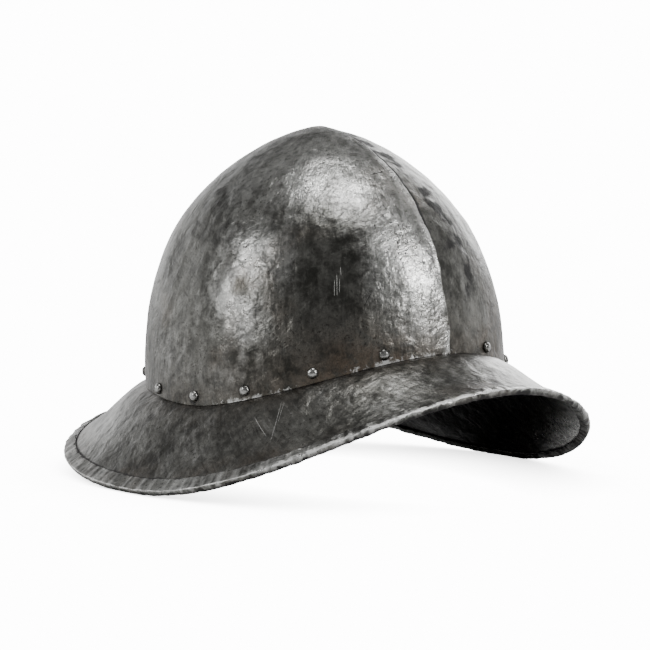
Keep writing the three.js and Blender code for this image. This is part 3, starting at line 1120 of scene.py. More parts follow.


# Bright patches on the half with the proud plate: partly wear, partly painted
# highlights; those below zero are painted shade.
RIGHT_SHINE = (
    Patch(-69, 0.46, 0.026, 0.032, 0.42),
    Patch(-69, 0.51, 0.012, 0.010, 0.45),
    Patch(-74, 0.38, 0.012, 0.010, 0.45),
    Patch(-67, 0.36, 0.010, 0.008, 0.30),
    Patch(-70, 0.43, 0.006, 0.009, -0.80),
    Patch(-74, 0.53, 0.007, 0.006, -0.40),
    Patch(-66, 0.39, 0.006, 0.006, -0.40),
    Patch(-68, 0.25, 0.014, 0.012, 0.25),
    Patch(-36, 0.77, 0.036, 0.018, 0.40),
    Patch(-49, 0.78, 0.010, 0.008, 0.45),
    Patch(-27, 0.76, 0.012, 0.009, 0.35),
    Patch(-24, 0.66, 0.020, 0.010, 0.10),
    Patch(-7, 0.80, 0.012, 0.012, 0.25),
    Patch(-10, 0.69, 0.012, 0.010, 0.05),
    Patch(-12, 0.50, 0.024, 0.024, 0.42),
    Patch(-13, 0.53, 0.014, 0.012, 0.45),
    Patch(-5, 0.36, 0.012, 0.010, 0.40),
    Patch(-11, 0.30, 0.022, 0.026, 0.36),
    Patch(-10, 0.12, 0.020, 0.014, 0.32),
    Patch(-45, 0.90, 0.030, 0.014, 0.32),
    Patch(-70, 0.60, 0.022, 0.012, 0.26),
    Patch(-88, 0.80, 0.034, 0.018, 0.24),
    Patch(-100, 0.16, 0.026, 0.016, 0.22),
    Patch(-78, 0.10, 0.030, 0.010, 0.18),
    Patch(-128, 0.45, 0.018, 0.070, 0.30),
    Patch(-42, 0.35, 0.030, 0.036, -0.42),
    Patch(-55, 0.50, 0.009, 0.022, 0.42),
    Patch(-58, 0.30, 0.008, 0.014, 0.20),
    Patch(-25, 0.42, 0.012, 0.030, 0.25),
    Patch(-97, 0.55, 0.018, 0.030, -0.35),
    Patch(-166, 0.48, 0.026, 0.030, 0.50),
    Patch(-146, 0.72, 0.020, 0.016, 0.35),
)

# Bright patches on the overlapped half: partly wear, partly painted highlights; those
# below zero are painted shade.
LEFT_SHINE = (
    Patch(14, 0.34, 0.018, 0.050, -0.55),
    Patch(10, 0.55, 0.012, 0.030, -0.40),
    Patch(44, 0.40, 0.018, 0.060, 0.20),
    Patch(70, 0.30, 0.026, 0.026, 0.55),
    Patch(78, 0.62, 0.026, 0.020, 0.50),
    Patch(104, 0.44, 0.024, 0.030, 0.55),
    Patch(140, 0.30, 0.026, 0.024, 0.50),
    Patch(158, 0.58, 0.024, 0.024, 0.50),
)

# Patches on the brim: partly wear, partly painted highlights, and painted shade where
# below zero.
BRIM_SHINE = (
    Patch(-14, 0.45, 0.040, 0.020, 0.10),
    Patch(16, 0.45, 0.030, 0.020, 0.10),
    Patch(40, 0.45, 0.030, 0.020, 0.30),
    Patch(-122, 0.45, 0.040, 0.030, 0.26),
    Patch(-62, 0.45, 0.026, 0.020, -0.15),
)


@dataclass
class Skull(PressedRing):
    """The hollow bowl, with its ridge, seam, hammered hollows and burred foot."""

    name: str = "skull_plate"
    columns: int = 560
    crowding: float = 0.70
    outer_rows: int = 104
    foot_rows: int = 8
    inner_rows: int = 26
    burr: float = 0.0006
    burr_height: float = 0.0016
    burr_reach: float = 0.0034
    wave_height: float = 0.00032
    facet_height: float = 0.00040
    grain_height: float = 0.00010
    crown_dip: float = 0.00015
    lip_place: float = 0.0012
    lip_width: float = 0.0021
    rub_place: float = 0.007
    rub_width: float = 0.009
    seam_shadow_place: float = 0.0010
    seam_shadow_width: float = 0.0015
    rivet_shade: float = 0.0050
    rust_reach: float = 0.020

    @staticmethod
    def burr_share(turn: Array) -> Array:
        """Gives how much of a burr the foot's edge has, most at two stretches."""
        return 0.12 + bell(turn + 1.19, 0.24) + bell(turn + 0.33, 0.34)

    def stations(self, form: HelmetForm) -> list[dict]:
        """Gives the section: down the inside, across the foot, and up the outside."""
        found = []

        def add(level: float, depth: float) -> None:
            wide = 0.5 * form.skull_width - depth
            radius = 0.0 if level == 2 else wide * (2 - max(level, 1))
            found.append({
                "radius": radius,
                "height": form.skull_rise * level - depth,
                "level": level,
                "depth": depth,
            })

        for row in range(self.inner_rows, 0, -1):
            add(1 + row / self.inner_rows, form.skull_wall)
        add(0.5, form.skull_wall)
        add(0.0, form.skull_wall)
        for row in range(self.foot_rows):
            add(row / self.foot_rows, 0.0)
        for row in range(self.outer_rows + 1):
            add(1 + row / self.outer_rows, 0.0)
        return found

    def hammering(self, points: Array) -> Array:
        """Gives the height of the fine hammer marks.

        Args:
            points: places on the skull's plain face.

        Returns:
            The height at each point.
        """
        waves = self.wave_height * fractal(points, 0.026, 3, 1.7)
        facets = self.facet_height * (cells(points, 0.017, 2.3) - 0.45)
        grain = self.grain_height * fractal(points, 0.007, 3, 7.9)
        return waves + facets + grain

    def build(self, form: HelmetForm) -> Piece:
        """Builds the bowl and paints its wear, with painted highlights and shade.

        Args:
            form: the helmet's surfaces.

        Returns:
            The piece.
        """
        mesh = self.spin(self.stations(form), closed=False)
        turn = self.turns(mesh)
        level = self.layer(mesh, "level")
        depth = self.layer(mesh, "depth")
        climb = form.climb_at_level(turn, level)
        plain = form.plain_skull(turn, climb)
        outside = (depth == 0).astype(float)
        height_above_foot = form.collar_height * np.minimum(level, 1)
        jagged = np.maximum(0, fractal(plain, 0.006, 3, 5.5) + 0.35)
        burr = jagged * self.burr_share(turn)
        burr *= self.burr * bell(height_above_foot, self.burr_height)
        crown = smooth_step(level, 1.88, 1.97)
        held = smooth_step(level, -0.02, 0.25) * (1 - 0.9 * crown)
        fine = outside * (self.hammering(plain) + burr) * held
        dished = form.dished(plain) * smooth_step(level, 0.8, 1.2)
        dished += self.crown_dip * crown
        points = form.skull(turn, climb, depth + dished - fine)
        points[:, 2] += np.where(level == 0, depth * form.brim_slope(turn), 0)
        self.press(mesh, form.placed(points))
        self.paint_wear_light_and_shade(mesh, form, turn, level, plain, outside)
        self.unwrap(mesh, turn, form.skull_wrap_height(level), form.skull_girth())
        return self.finish(mesh, 50)

    def paint_wear_light_and_shade(
        self,
        mesh: Mesh,
        form: HelmetForm,
        turn: Array,
        level: Array,
        plain: Array,
        outside: Array,
    ) -> None:
        """Paints polish, grime, rust and the dark inside on the vertices, with painted
        highlights and shade among them.

        Args:
            mesh: the bowl.
            form: the helmet's surfaces.
            turn: turn of each vertex.
            level: level of each vertex.
            plain: place of each vertex on the plain face.
            outside: 1 on the outer face, 0 inside.
        """
        side = plain[:, 0] - form.seam_line(plain)
        above_foot = form.skull_wrap_height(level)
        left_of_seam = side < 0
        # These values are partly wear and partly painted highlight and shade, from the
        # patch tables.
        polish_and_highlight = patch_values(plain, RIGHT_SHINE, form.skull_place) * left_of_seam
        polish_and_highlight += patch_values(plain, LEFT_SHINE, form.skull_place) * ~left_of_seam
        burr_and_glint = self.burr_share(turn) * bell(above_foot, self.burr_reach)
        burr_and_glint *= 0.68 + 0.6 * fractal(plain, 0.008, 3, 6.2)
        low = 1 - smooth_step(level, 1.50, 1.80)
        # A bright line along the proud plate's edge at the seam: edge wear and a
        # painted highlight with glints.
        lip_wear_and_glint = bell(side + self.lip_place, self.lip_width) * left_of_seam
        lip_wear_and_glint *= 0.55 + 1.0 * fractal(plain, 0.012, 3, 3.3)
        polish_and_highlight += (0.40 + 0.60 * low) * lip_wear_and_glint
        burr_and_glint += 0.95 * low * lip_wear_and_glint
        beside = bell(side + self.rub_place, self.rub_width) * left_of_seam
        polish_and_highlight += 0.15 * beside * low
        # A dark line along the overlapped plate beside the seam: a painted shadow of
        # the step.
        seam_shadow = bell(side - self.seam_shadow_place, self.seam_shadow_width) * ~left_of_seam
        high = smooth_step(level, 1.25, 1.5) * (1 - smooth_step(level, 1.88, 1.96))
        dirt_and_shade = (0.55 + 1.10 * high) * seam_shadow * (0.85 + fractal(plain, 0.03, 2, 8.1))
        # Darker round each rivet: painted shade where the head meets the plate.
        for rivet in rivet_seats(form):
            away = np.linalg.norm(form.placed(plain) - rivet, axis=1)
            dirt_and_shade += 0.62 * bell(away, self.rivet_shade)
        # Darker over the overlapped plate beside the seam: painted shade, with
        # blackened blotches.
        right_of_seam = bell(turn - 0.22, 0.13) * smooth_step(level, 1.02, 1.15)
        blotches = fractal(plain * (1, 1, 0.35), 0.012, 4, 12.3)
        blackened = smooth_step(blotches, -0.15, 0.28)
        dirt_and_shade += right_of_seam * (0.25 + 0.85 * blackened)
        dirt_and_shade += 0.35 * smooth_step(fractal(plain, 0.016, 4, 14.9), 0.35, 0.75)
        front = bell(turn + 0.55, 0.45)
        rust = (0.25 + 0.6 * front) * bell(above_foot, self.rust_reach)
        rust += 0.30 * smooth_step(fractal(plain, 0.045, 3, 9.4), 0.15, 0.6)
        self.paint(mesh, "polish_and_highlight", polish_and_highlight * outside)
        self.paint(mesh, "burr", burr_and_glint * outside)
        self.paint(mesh, "dirt_and_shade", np.clip(dirt_and_shade, 0, 1) * outside)
        self.paint(mesh, "rust", np.clip(rust, 0, 0.8) * outside)
        self.paint(mesh, "inside", 1 - outside)


@dataclass
class Brim(PressedRing):
    """The flared ring, with its collar inside the skull's foot."""

    name: str = "brim_plate"
    columns: int = 624
    crowding: float = 0.40
    top_rows: int = 46
    under_rows: int = 18
    collar_rows: int = 4
    dent_height: float = 0.00040
    blow_height: float = 0.00030
    grain_height: float = 0.00008
    flange_shade: float = 0.0016
    foot_shade: float = 0.0022
    rust_reach: float = 0.012

    def stations(self, form: HelmetForm) -> list[dict]:
        """Gives the section: out below, in on top, and round the collar."""
        found = []
        outside = form.skull_wall + form.play
        inside = outside + form.brim_wall

        def flare(out: float, depth: float) -> None:
            wide = form.brim_width - form.skull_width
            found.append({
                "radius": 0.5 * (form.skull_width + wide * out),
                "height": -form.brim_drop * out - depth,
                "out": out,
                "level": -1.0,
                "depth": depth,
            })

        def collar(level: float, depth: float) -> None:
            found.append({
                "radius": 0.5 * form.skull_width - depth,
                "height": form.collar_height * level + depth,
                "out": 0.0,
                "level": level,
                "depth": depth,
            })

        collar(0.0, inside)
        for row in range(1, self.under_rows + 1):
            flare(row / self.under_rows, form.play + form.brim_wall)
        for row in range(self.top_rows, -1, -1):
            flare(row / self.top_rows, form.play)
        for row in range(self.collar_rows + 1):
            collar(row / self.collar_rows, outside)
        for row in range(self.collar_rows, 0, -1):
            collar(row / self.collar_rows, inside)
        return found

    def build(self, form: HelmetForm) -> Piece:
        """Builds the ring and paints its wear, with painted highlights and shade.

        Args:
            form: the helmet's surfaces.

        Returns:
            The piece.
        """
        mesh = self.spin(self.stations(form), closed=True)
        turn = self.turns(mesh)
        out = self.layer(mesh, "out")
        level = self.layer(mesh, "level")
        depth = self.layer(mesh, "depth")
        flare = level < -0.5
        top = flare & (depth < 0.5 * form.brim_wall)
        plain = form.brim_top(turn, out)
        held = smooth_step(out, 0.0, 0.12) * (1 - smooth_step(out, 0.80, 0.9))
        blows = self.blow_height * (cells(plain, 0.020, 1.1) - 0.45)
        dents = self.dent_height * fractal(plain, 0.030, 3, 2.9) + blows
        dents += self.grain_height * fractal(plain, 0.007, 2, 6.6)
        fine = np.where(flare, held * dents, 0.0)
        points = form.brim(turn, out, depth - fine)
        climb = form.climb_at_level(turn, np.maximum(level, 0))
        collar = form.skull(turn, climb, depth)
        slope = form.brim_slope(turn)
        outside = form.skull_wall + form.play
        thick = form.brim_wall * (np.hypot(1, slope) - slope)
        under = np.where(depth > outside + WELD, thick, 0)
        collar[:, 2] += np.where(level == 0, outside * slope - form.play - under, 0)
        points[~flare] = collar[~flare]
        self.press(mesh, form.placed(points))
        self.paint_wear_light_and_shade(mesh, form, turn, out, plain, top)
        self.unwrap(mesh, turn, out * form.brim_unrolled, form.brim_girth())
        return self.finish(mesh, 50)

    def paint_wear_light_and_shade(
        self,
        mesh: Mesh,
        form: HelmetForm,
        turn: Array,
        out: Array,
        plain: Array,
        top: Array,
    ) -> None:
        """Paints polish, grime, rust and the dark underside on the vertices, with
        painted highlights and shade among them and a painted lit stretch underneath.

        Args:
            mesh: the ring.
            form: the helmet's surfaces.
            turn: turn of each vertex.
            out: share of the way out of each vertex.
            plain: place of each vertex on the plain top face.
            top: whether each vertex is on the top face.
        """
        reach = form.brim_reach(turn)
        to_flange = (form.flange_line(turn) - out) * reach
        # Darker along the binding's flange and next to the skull's foot: painted shade
        # where the parts meet.
        dirt_and_shade = 0.95 * bell(to_flange, self.flange_shade) + (to_flange < 0)
        dirt_and_shade += 0.25 * bell(out * reach, self.foot_shade)
        dirt_and_shade += 0.35 * smooth_step(fractal(plain, 0.022, 3, 3.8), 0.25, 0.7)
        # Random wear, plus painted highlights and shade from the brim patches.
        polish_and_highlight = 0.06 + 0.25 * fractal(plain, 0.035, 3, 4.6)
        polish_and_highlight += patch_values(plain, BRIM_SHINE, form.brim_place)
        rust = 0.50 * np.exp(-out * reach / self.rust_reach)
        stains = smooth_step(fractal(plain, 0.04, 3, 5.2), -0.2, 0.4)
        rust += 0.45 * smooth_step(out, 0.55, 0.85) * stains
        shown = top.astype(float)
        self.paint(mesh, "dirt_and_shade", np.clip(dirt_and_shade, 0, 1) * shown)
        self.paint(mesh, "rust", np.clip(rust, 0, 0.8) * shown)
        # A stretch of the underside toward the brim's end is painted lighter and less
        # black: painted light.
        lit = bell(turn - 1.0, 0.42) * smooth_step(out, 0.35, 0.8)
        self.paint(mesh, "polish_and_highlight", np.where(top, polish_and_highlight, 0.9 * lit))
        self.paint(mesh, "inside", (0.94 - 0.92 * lit) * (1 - shown))


@dataclass
class EdgeBinding(PressedRing):
    """The strip folded over the brim's edge, creased across by the hammer."""

    name: str = "edge_strip"
    columns: int = 1184
    crowding: float = 0.15
    wall: float = 0.0015
    under_flange: float = 0.0045
    nose_power: float = 0.62
    nose_share: float = 0.72
    nose_steps: int = 12
    flange_steps: int = 6
    crease: float = 0.00055
    ragged_height: float = 0.00022
    flange_wander: float = 0.00050
    sink: float = 0.002

    def stations(self, form: HelmetForm) -> list[dict]:
        """Gives the section: from the flange below round the nose to the one above."""
        half = 0.5 * form.brim_wall + form.play
        outer = half + self.wall
        nose = self.nose_share * (form.play + self.wall)
        found = []

        def add(reach: float, lift: float, at_line: float, face: float) -> None:
            found.append({
                "radius": 0.5 * form.brim_width + reach - at_line * self.sink,
                "height": lift,
                "reach": reach,
                "lift": lift,
                "line": at_line,
                "face": face,
            })

        for step in range(self.flange_steps):
            share = step / self.flange_steps
            edge = 0.25 * self.wall * math.exp(-share * self.flange_steps)
            add(-self.under_flange * (1 - share), -outer + edge, 0.0, 0.0)
        for step in range(self.nose_steps + 1):
            roll = math.pi * (step / self.nose_steps - 0.5)
            level = math.cos(roll)
            reach = nose * level**self.nose_power if level > 1e-9 else 0.0
            lift = outer * math.copysign(abs(math.sin(roll)) ** self.nose_power, roll)
            add(reach, lift, 0.0, step / self.nose_steps)
        for step in range(1, self.flange_steps + 1):
            share = step / self.flange_steps
            edge = 0.25 * self.wall * math.exp(-(1 - share) * self.flange_steps)
            add(0.0, outer - edge, share, 1.0)
        add(0.0, half, 1.0, 2.0)
        add(form.play, half, 0.0, 2.0)
        add(form.play, -half, 0.0, 2.0)
        add(-self.under_flange, -half, 0.0, 2.0)
        return found

    def build(self, form: HelmetForm) -> Piece:
        """Builds the strip and paints its wear, with painted highlights and shade.

        Args:
            form: the helmet's surfaces.

        Returns:
            The piece.
        """
        mesh = self.spin(self.stations(form), closed=True)
        turn = self.turns(mesh)
        reach, lift = self.layer(mesh, "reach"), self.layer(mesh, "lift")
        line, face = self.layer(mesh, "line"), self.layer(mesh, "face")
        width = form.brim_reach(turn)
        out = 1 + reach / width + line * (form.flange_line(turn) - 1)
        edge = form.brim_end(turn)
        shown = face < 1.5
        creases = fractal(edge, 0.0055, 3, 1.9) + 0.6 * fractal(edge, 0.016, 2, 2.2)
        ragged = fractal(edge + lift[:, None] * 2, 0.0030, 3, 8.8)
        corner = bell(face - 0.86, 0.10)
        uneven = self.crease * (creases - 0.7) + self.ragged_height * ragged * corner
        rise = np.where(shown, uneven, 0.0)
        strayed = self.flange_wander * fractal(edge, 0.020, 3, 3.7) / width
        wander = np.where(line > 0.7, strayed, 0.0)
        half = 0.5 * form.brim_wall
        middle = form.play + half
        side = np.where(lift > 0, 1.0, -1.0) * np.minimum(1, np.abs(lift) / half)
        points = form.brim(turn, out + wander, middle - lift - side * rise)
        placed = form.placed(points)
        placed[:, 2] = np.maximum(placed[:, 2], 0.0)
        self.press(mesh, placed)
        self.paint_wear_light_and_shade(mesh, edge, line, face, shown)
        self.unwrap(mesh, turn, face * 0.005 + line * 0.008, form.brim_girth())
        return self.finish(mesh, 55)

    def paint_wear_light_and_shade(
        self,
        mesh: Mesh,
        edge: Array,
        line: Array,
        face: Array,
        shown: Array,
    ) -> None:
        """Paints polish, grime and rust on the vertices, with painted highlights,
        glints and shade among them.

        Args:
            mesh: the strip.
            edge: place of the plate's end beside each vertex.
            line: share of the way from the fold to the flange's end.
            face: share of the way round the nose.
            shown: whether each vertex is on the strip's outer skin.
        """
        arch = smooth_step(-edge[:, 1], 0.06, 0.14)
        # The nose's upper corner is painted bright with glints, more along the front
        # arch: a painted highlight.
        ridge = bell(face - 0.87, 0.10 + 0.10 * arch) * (line < 0.22)
        chips = 0.78 + 0.9 * fractal(edge, 0.009, 4, 5.9)
        burr_and_glint = (0.80 + 0.45 * arch) * ridge * chips
        polish_and_highlight = 0.5 * ridge + 0.15 + 0.50 * fractal(edge, 0.004, 3, 2.5)
        # Darker on the nose's lower face and toward the flange's end: painted shade.
        below = 1 - smooth_step(face, 0.35, 0.75)
        dirt_and_shade = 0.45 * smooth_step(line, 0.82, 1.0) + 0.66 * below
        dirt_and_shade += 0.40 * smooth_step(fractal(edge, 0.006, 3, 4.4), 0.05, 0.5)
        rust = 0.30 * smooth_step(fractal(edge, 0.03, 3, 7.3), 0.0, 0.5)
        outer = shown.astype(float)
        self.paint(mesh, "polish_and_highlight", polish_and_highlight * outer)
        self.paint(mesh, "burr", burr_and_glint * outer)
        self.paint(mesh, "dirt_and_shade", np.clip(dirt_and_shade, 0, 1) * outer)
        self.paint(mesh, "rust", rust * outer)
        self.paint(mesh, "inside", 1 - outer)


RIVET_NODES = tuple(
    f"rivet_{side}_{place}" for side in ("right", "left") for place in range(1, 8)
)


def rivet_frame(form: HelmetForm, node: str) -> tuple[Array, Array]:
    """Finds a packed rivet's seat on the skull and its direction.

    Args:
        form: the helmet's surfaces.
        node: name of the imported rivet.

    Returns:
        The seat and the outward direction.
    """
    low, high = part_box(node)
    centre = 0.5 * (np.array(low) + np.array(high))
    across, along = centre[0] / form.skull_width, -centre[1] / form.skull_length
    turn = np.array([math.atan2(across, along)])
    rise = form.skull_rise - form.foot(turn)[:, 2]
    share = (centre[2] - form.base - form.foot(turn)[:, 2]) / rise
    outward = form.skull_normal(turn, form.climb_at(share))[0]
    return centre + outward * Rivet.half_offset, outward


def rivet_seats(form: HelmetForm) -> list[Array]:
    """Gives the seat of every rivet on the skull's outer face."""
    return [rivet_frame(form, node)[0] for node in RIVET_NODES]


@dataclass
class Rivet:
    """A round-headed rivet through skull and collar, its head a little uneven."""

    node: str
    head: float = 0.0033
    height: float = 0.0026
    shank: float = 0.0016
    tail: float = 0.0025
    sides: int = 28
    tail_height: float = 0.0012
    tail_rim: float = 0.0004
    rim: float = 0.0003
    dome_steps: int = 8
    dome_power: float = 0.9
    knocked: float = 0.00018
    dented: float = 0.00016
    half_offset: ClassVar[float] = 0.00105

    def section(self, form: HelmetForm) -> list[tuple[float, float]]:
        """Gives the rivet's section.

        Args:
            form: the helmet's surfaces.

        Returns:
            Radius and height, from its tail up.
        """
        seat = form.play
        tail_seat = -(form.skull_wall + form.brim_wall + 2 * form.play)
        tail_end = tail_seat - self.tail_height
        points = [(0.0, tail_end), (0.75 * self.tail, tail_end)]
        points += [(self.tail, tail_seat - self.tail_rim), (self.tail, tail_seat)]
        points += [(self.shank, tail_seat), (self.shank, seat)]
        points += [(0.94 * self.head, seat), (self.head, seat + self.rim)]
        for step in range(1, self.dome_steps + 1):
            roll = QUARTER * step / self.dome_steps
            wide = self.head * math.cos(roll) ** self.dome_power
            rise = seat + self.rim + (self.height - self.rim) * math.sin(roll)
            points.append((0.0 if step == self.dome_steps else wide, rise))
        return points

    def build(self, form: HelmetForm) -> Piece:
        """Spins the rivet, knocks its head uneven and sets it in its hole.

        Args:
            form: the helmet's surfaces.

        Returns:
            The piece.
        """
        seat, outward = rivet_frame(form, self.node)
        mesh = bmesh.new()
        corners = [mesh.verts.new((r, 0.0, z)) for r, z in self.section(form)]
        edges = [mesh.edges.new(pair) for pair in zip(corners, corners[1:])]
        bmesh.ops.spin(
            mesh,
            geom=corners + edges,
            cent=(0, 0, 0),
            axis=(0, 0, 1),
            angle=2 * math.pi,
            steps=self.sides,
            use_merge=True,
            use_duplicate=False,
        )
        bmesh.ops.remove_doubles(mesh, verts=mesh.verts[:], dist=1e-7)
        dirt_and_shade = mesh.verts.layers.float.new("dirt_and_shade")
        polish_and_highlight = mesh.verts.layers.float.new("polish_and_highlight")
        draw = RIVET_NODES.index(self.node) * 3.7
        # Darker at the head's foot, a painted contact shade; lighter on the dome's top,
        # wear and a painted highlight.
        for vertex in mesh.verts:
            height = vertex.co.z
            vertex[dirt_and_shade] = 0.9 * max(0.0, 1 - (height - form.play) / 0.0010)
            raised = max(0.0, min(1.0, (height - 0.0016) / 0.0010))
            vertex[polish_and_highlight] = 0.05 + 0.45 * raised
            if height > form.play + 0.0001:
                lumps = noise.noise(vertex.co / 0.0022 + Vector((draw, 0, 0)))
                outward_here = Vector((vertex.co.x, vertex.co.y, 0)).normalized()
                vertex.co += outward_here * self.knocked * lumps
                dents = noise.noise(vertex.co / 0.0016 + Vector((0, draw, 0)))
                vertex.co.z += self.dented * dents
        turned = Vector((0, 0, 1)).rotation_difference(Vector(outward))
        seated = Matrix.Translation(Vector(seat)) @ turned.to_matrix().to_4x4()
        bmesh.ops.transform(mesh, matrix=seated, verts=mesh.verts[:])
        bmesh.ops.recalc_face_normals(mesh, faces=mesh.faces[:])
        return object_from(mesh, f"{self.node}_stud", 60)


@dataclass(frozen=True)
class Softbox:
    """A large soft lamp.

    Attributes:
        name: name of the lamp.
        toward: direction from the helmet to the lamp.
        away: distance from the helmet.
        size: width and height.
        power: in watts.
    """

    name: str
    toward: tuple
    away: float
    size: tuple
    power: float


@dataclass
class Studio:
    """The pale floor, the soft light and the camera."""

    azimuth: float = -37.08
    elevation: float = 5.355
    distance: float = 2.4348
    focal_pixels: float = 4039.4
    frame_pixels: float = 650.0
    sensor_mm: float = 36.0
    aim_right: float = 0.00065
    aim_up: float = 0.02809
    aim_base: float = 0.0106
    floor_size: float = 14.0
    floor_tone: tuple = (0.75, 0.75, 0.75, 1)
    floor_rough: float = 0.8
    contact_shadow_reach: float = 0.06
    seen_brightness: float = 14.0
    fill: float = 0.37
    behind: tuple = (-0.42, 0.35, 2.4, 0.0)
    aloft: tuple = (0.10, 0.52, 1.0, 0.10)
    lamp_aim: float = 0.1
    lamps: tuple = (
        Softbox("left_box", (-0.875, 0.284, 0.39), 1.6, (0.24, 0.60), 7.2),
        Softbox("top_box", (-0.14, -0.04, 0.99), 1.7, (0.75, 0.35), 16.0),
        Softbox("front_box", (0.08, -0.87, 0.46), 1.7, (0.30, 0.6), 17.0),
        Softbox("right_box", (0.62, -0.10, 0.80), 1.8, (0.5, 0.5), 5.0),
        Softbox("back_box", (0.80, 0.50, 0.35), 2.0, (0.8, 1.0), 16.0),
    )

    def toward_camera(self) -> Vector:
        """Gives the direction from the helmet to the camera."""
        turn, climb = math.radians(self.azimuth), math.radians(self.elevation)
        level = math.cos(climb)
        across, along = math.sin(turn) * level, -math.cos(turn) * level
        return Vector((across, along, math.sin(climb)))

    def camera(self, form: HelmetForm) -> None:
        """Makes the camera at the photo's angle and distance.

        Args:
            form: the helmet's surfaces.
        """
        back = self.toward_camera()
        turn = math.radians(self.azimuth)
        right = Vector((math.cos(turn), math.sin(turn), 0))
        up = back.cross(right)
        target = right * self.aim_right + up * self.aim_up
        target.z += form.base + self.aim_base
        lens = bpy.data.cameras.new("camera")
        lens.sensor_width = self.sensor_mm
        lens.lens = self.focal_pixels / self.frame_pixels * self.sensor_mm
        eye = bpy.data.objects.new("camera", lens)
        place = Matrix((right, up, back)).transposed().to_4x4()
        place.translation = target + back * self.distance
        eye.matrix_world = place
        bpy.context.scene.collection.objects.link(eye)
        bpy.context.scene.camera = eye

    def floor(self) -> None:
        """Makes the pale floor, which the camera sees glowing white with a painted
        shadow where the helmet nears it, from ambient occlusion.
        """
        mesh = bmesh.new()
        half = 0.5 * self.floor_size
        bmesh.ops.create_grid(mesh, x_segments=1, y_segments=1, size=half)
        floor = object_from(mesh, "floor", 30)
        bench = NodeBench(bpy.data.materials.new("floor_white"))
        tone = {"Base Color": self.floor_tone, "Roughness": self.floor_rough}
        matt = bench.fill(bench.node("ShaderNodeBsdfPrincipled"), tone)
        # Ambient occlusion darkens the floor's glow near the helmet: a painted shadow.
        contact_shadow = bench.node("ShaderNodeAmbientOcclusion", samples=8)
        bench.fill(contact_shadow, {"Distance": self.contact_shadow_reach})
        glow = {"Color": contact_shadow.outputs["Color"], "Strength": self.seen_brightness}
        lit = bench.fill(bench.node("ShaderNodeEmission"), glow)
        bench.show("ShaderNodeOutputMaterial", matt.outputs[0], lit.outputs[0])
        floor.data.materials.append(bench.owner)

    def light(self) -> None:
        """Makes the lamps and the pale surroundings, darker on the camera's side."""
        aim = Vector((0, 0, self.lamp_aim))
        for box in self.lamps:
            lamp = bpy.data.lights.new(box.name, "AREA")
            lamp.shape = "RECTANGLE"
            lamp.size, lamp.size_y = box.size
            lamp.energy = box.power
            holder = bpy.data.objects.new(box.name, lamp)
            toward = Vector(box.toward).normalized()
            holder.matrix_world = toward.to_track_quat("Z", "Y").to_matrix().to_4x4()
            holder.matrix_world.translation = toward * box.away + aim
            bpy.context.scene.collection.objects.link(holder)
        self.surroundings()

    def surroundings(self) -> None:
        """Makes the world white to the eye, and graded for what the steel mirrors."""
        bench = NodeBench(bpy.data.worlds.new("studio"))
        bpy.context.scene.world = bench.owner
        direction = bench.node("ShaderNodeTexCoord").outputs["Generated"]
        facing = bench.node("ShaderNodeVectorMath", operation="DOT_PRODUCT")
        bench.fill(facing, {0: direction, 1: self.toward_camera()})
        behind = bench.between(facing.outputs["Value"], *self.behind)
        parts = bench.fill(bench.node("ShaderNodeSeparateXYZ"), {0: direction})
        aloft = bench.between(parts.outputs[2], *self.aloft)
        graded = bench.scaled(behind, aloft, self.fill)
        mirrored = bench.node("ShaderNodeBackground")
        bench.fill(mirrored, {"Strength": graded})
        white = {"Color": (1, 1, 1, 1), "Strength": self.seen_brightness}
        plain = bench.fill(bench.node("ShaderNodeBackground"), white)
        bench.show("ShaderNodeOutputWorld", mirrored.outputs[0], plain.outputs[0])

    def build(self, form: HelmetForm) -> None:
        """Sets up the floor, the light and the camera.

        Args:
            form: the helmet's surfaces.
        """
        self.floor()
        self.light()
        self.camera(form)


SKULL_SCRATCHES = (
    Scratch(-37.8, 0.375, 0.010, 0.0004, 3),
    Scratch(-36.9, 0.385, 0.014, 0.0004, 2),
    Scratch(-36.1, 0.38, 0.009, 0.00035, 4),
    Scratch(-35.4, 0.44, 0.006, 0.00035, 0),
    Scratch(-12.2, 0.235, 0.0060, 0.0004, 62),
    Scratch(-11.6, 0.255, 0.0070, 0.0004, 66),
    Scratch(-11.4, 0.275, 0.0060, 0.0004, 58),
    Scratch(-10.6, 0.295, 0.0055, 0.0004, 64),
    Scratch(-10.0, 0.810, 0.0200, 0.0011, 86, True),
    Scratch(-14.5, 0.665, 0.0110, 0.0005, -24, True),
    Scratch(-13.2, 0.650, 0.0080, 0.0004, -28, True),
    Scratch(-27.0, 0.300, 0.0090, 0.0006, 40, True),
)

BRIM_SCRATCHES = (
    Scratch(-58.9, 0.42, 0.024, 0.0004, 40),
    Scratch(-54.5, 0.40, 0.032, 0.0004, -6),
    Scratch(-53.6, 0.32, 0.016, 0.0003, -8),
)

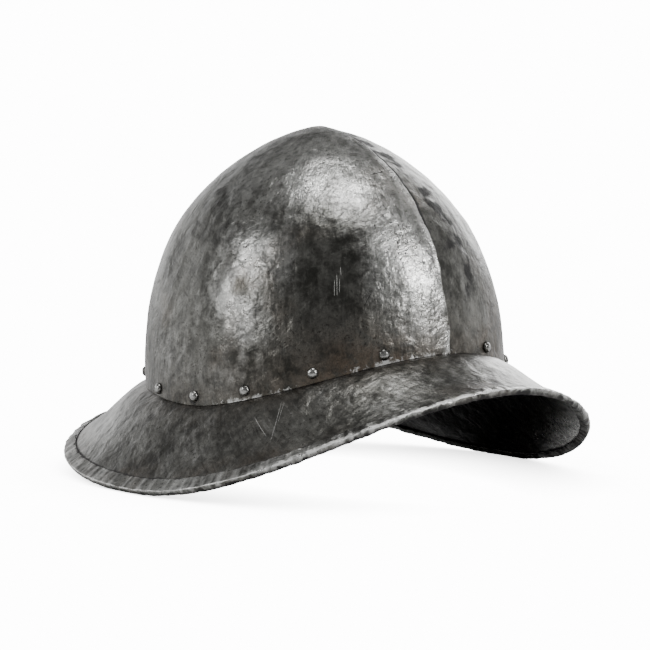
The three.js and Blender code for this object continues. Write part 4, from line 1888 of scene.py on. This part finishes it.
BINDING_STEEL = SteelFinish(
    "binding_steel",
    middle=(0.19, 0.19, 0.18),
    bright=(0.68, 0.68, 0.66),
    streak=0.2,
    crinkle=0.0007,
)
RIVET_STEEL = SteelFinish(
    "rivet_steel",
    middle=(0.16, 0.158, 0.15),
    gloss=0.22,
    dull=0.28,
    streak=0.2,
    crinkle=0.0001,
    pitting=0.1,
)


def skull_steel(form: HelmetForm) -> SteelFinish:
    """Gives the skull's finish, with its scratches in place."""
    placed = [(form.skull_wrap(mark.turn, mark.up), mark) for mark in SKULL_SCRATCHES]
    return SteelFinish("skull_steel", scratches=tuple(placed))


def brim_steel(form: HelmetForm) -> SteelFinish:
    """Gives the brim's finish, with its scratches in place."""
    placed = [(form.brim_wrap(mark.turn, mark.up), mark) for mark in BRIM_SCRATCHES]
    marks = tuple(placed)
    return SteelFinish("brim_steel", lay=Lay.SLANTED, streak=0.75, scratches=marks)


def dress(piece: Piece, steel: bpy.types.Material, slot: str, *nodes: str) -> None:
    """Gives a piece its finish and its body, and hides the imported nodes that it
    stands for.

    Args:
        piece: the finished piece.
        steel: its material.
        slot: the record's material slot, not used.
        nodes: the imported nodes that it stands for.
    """
    piece.data.materials.append(steel)
    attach(piece, "root")
    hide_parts(*nodes)
    faces = len(piece.data.polygons)
    LOG.info("%s: %d faces, stands for %s", piece.name, faces, ", ".join(nodes))


def main() -> None:
    """Builds the helmet piece by piece, then the studio, and notes the sizes."""
    logging.basicConfig(level=logging.INFO, format="%(name)s %(message)s")
    form = HelmetForm()
    Studio().build(form)
    dress(Skull().build(form), forged_steel(skull_steel(form)), "skull_steel", "skull")
    dress(Brim().build(form), forged_steel(brim_steel(form)), "brim_steel", "brim")
    strip = EdgeBinding().build(form)
    dress(strip, forged_steel(BINDING_STEEL), "binding_steel", "edge_binding")
    rivet_steel = forged_steel(RIVET_STEEL)
    for node in RIVET_NODES:
        dress(Rivet(node).build(form), rivet_steel, "rivet_steel", node)


if __name__ == "__main__":
    main()
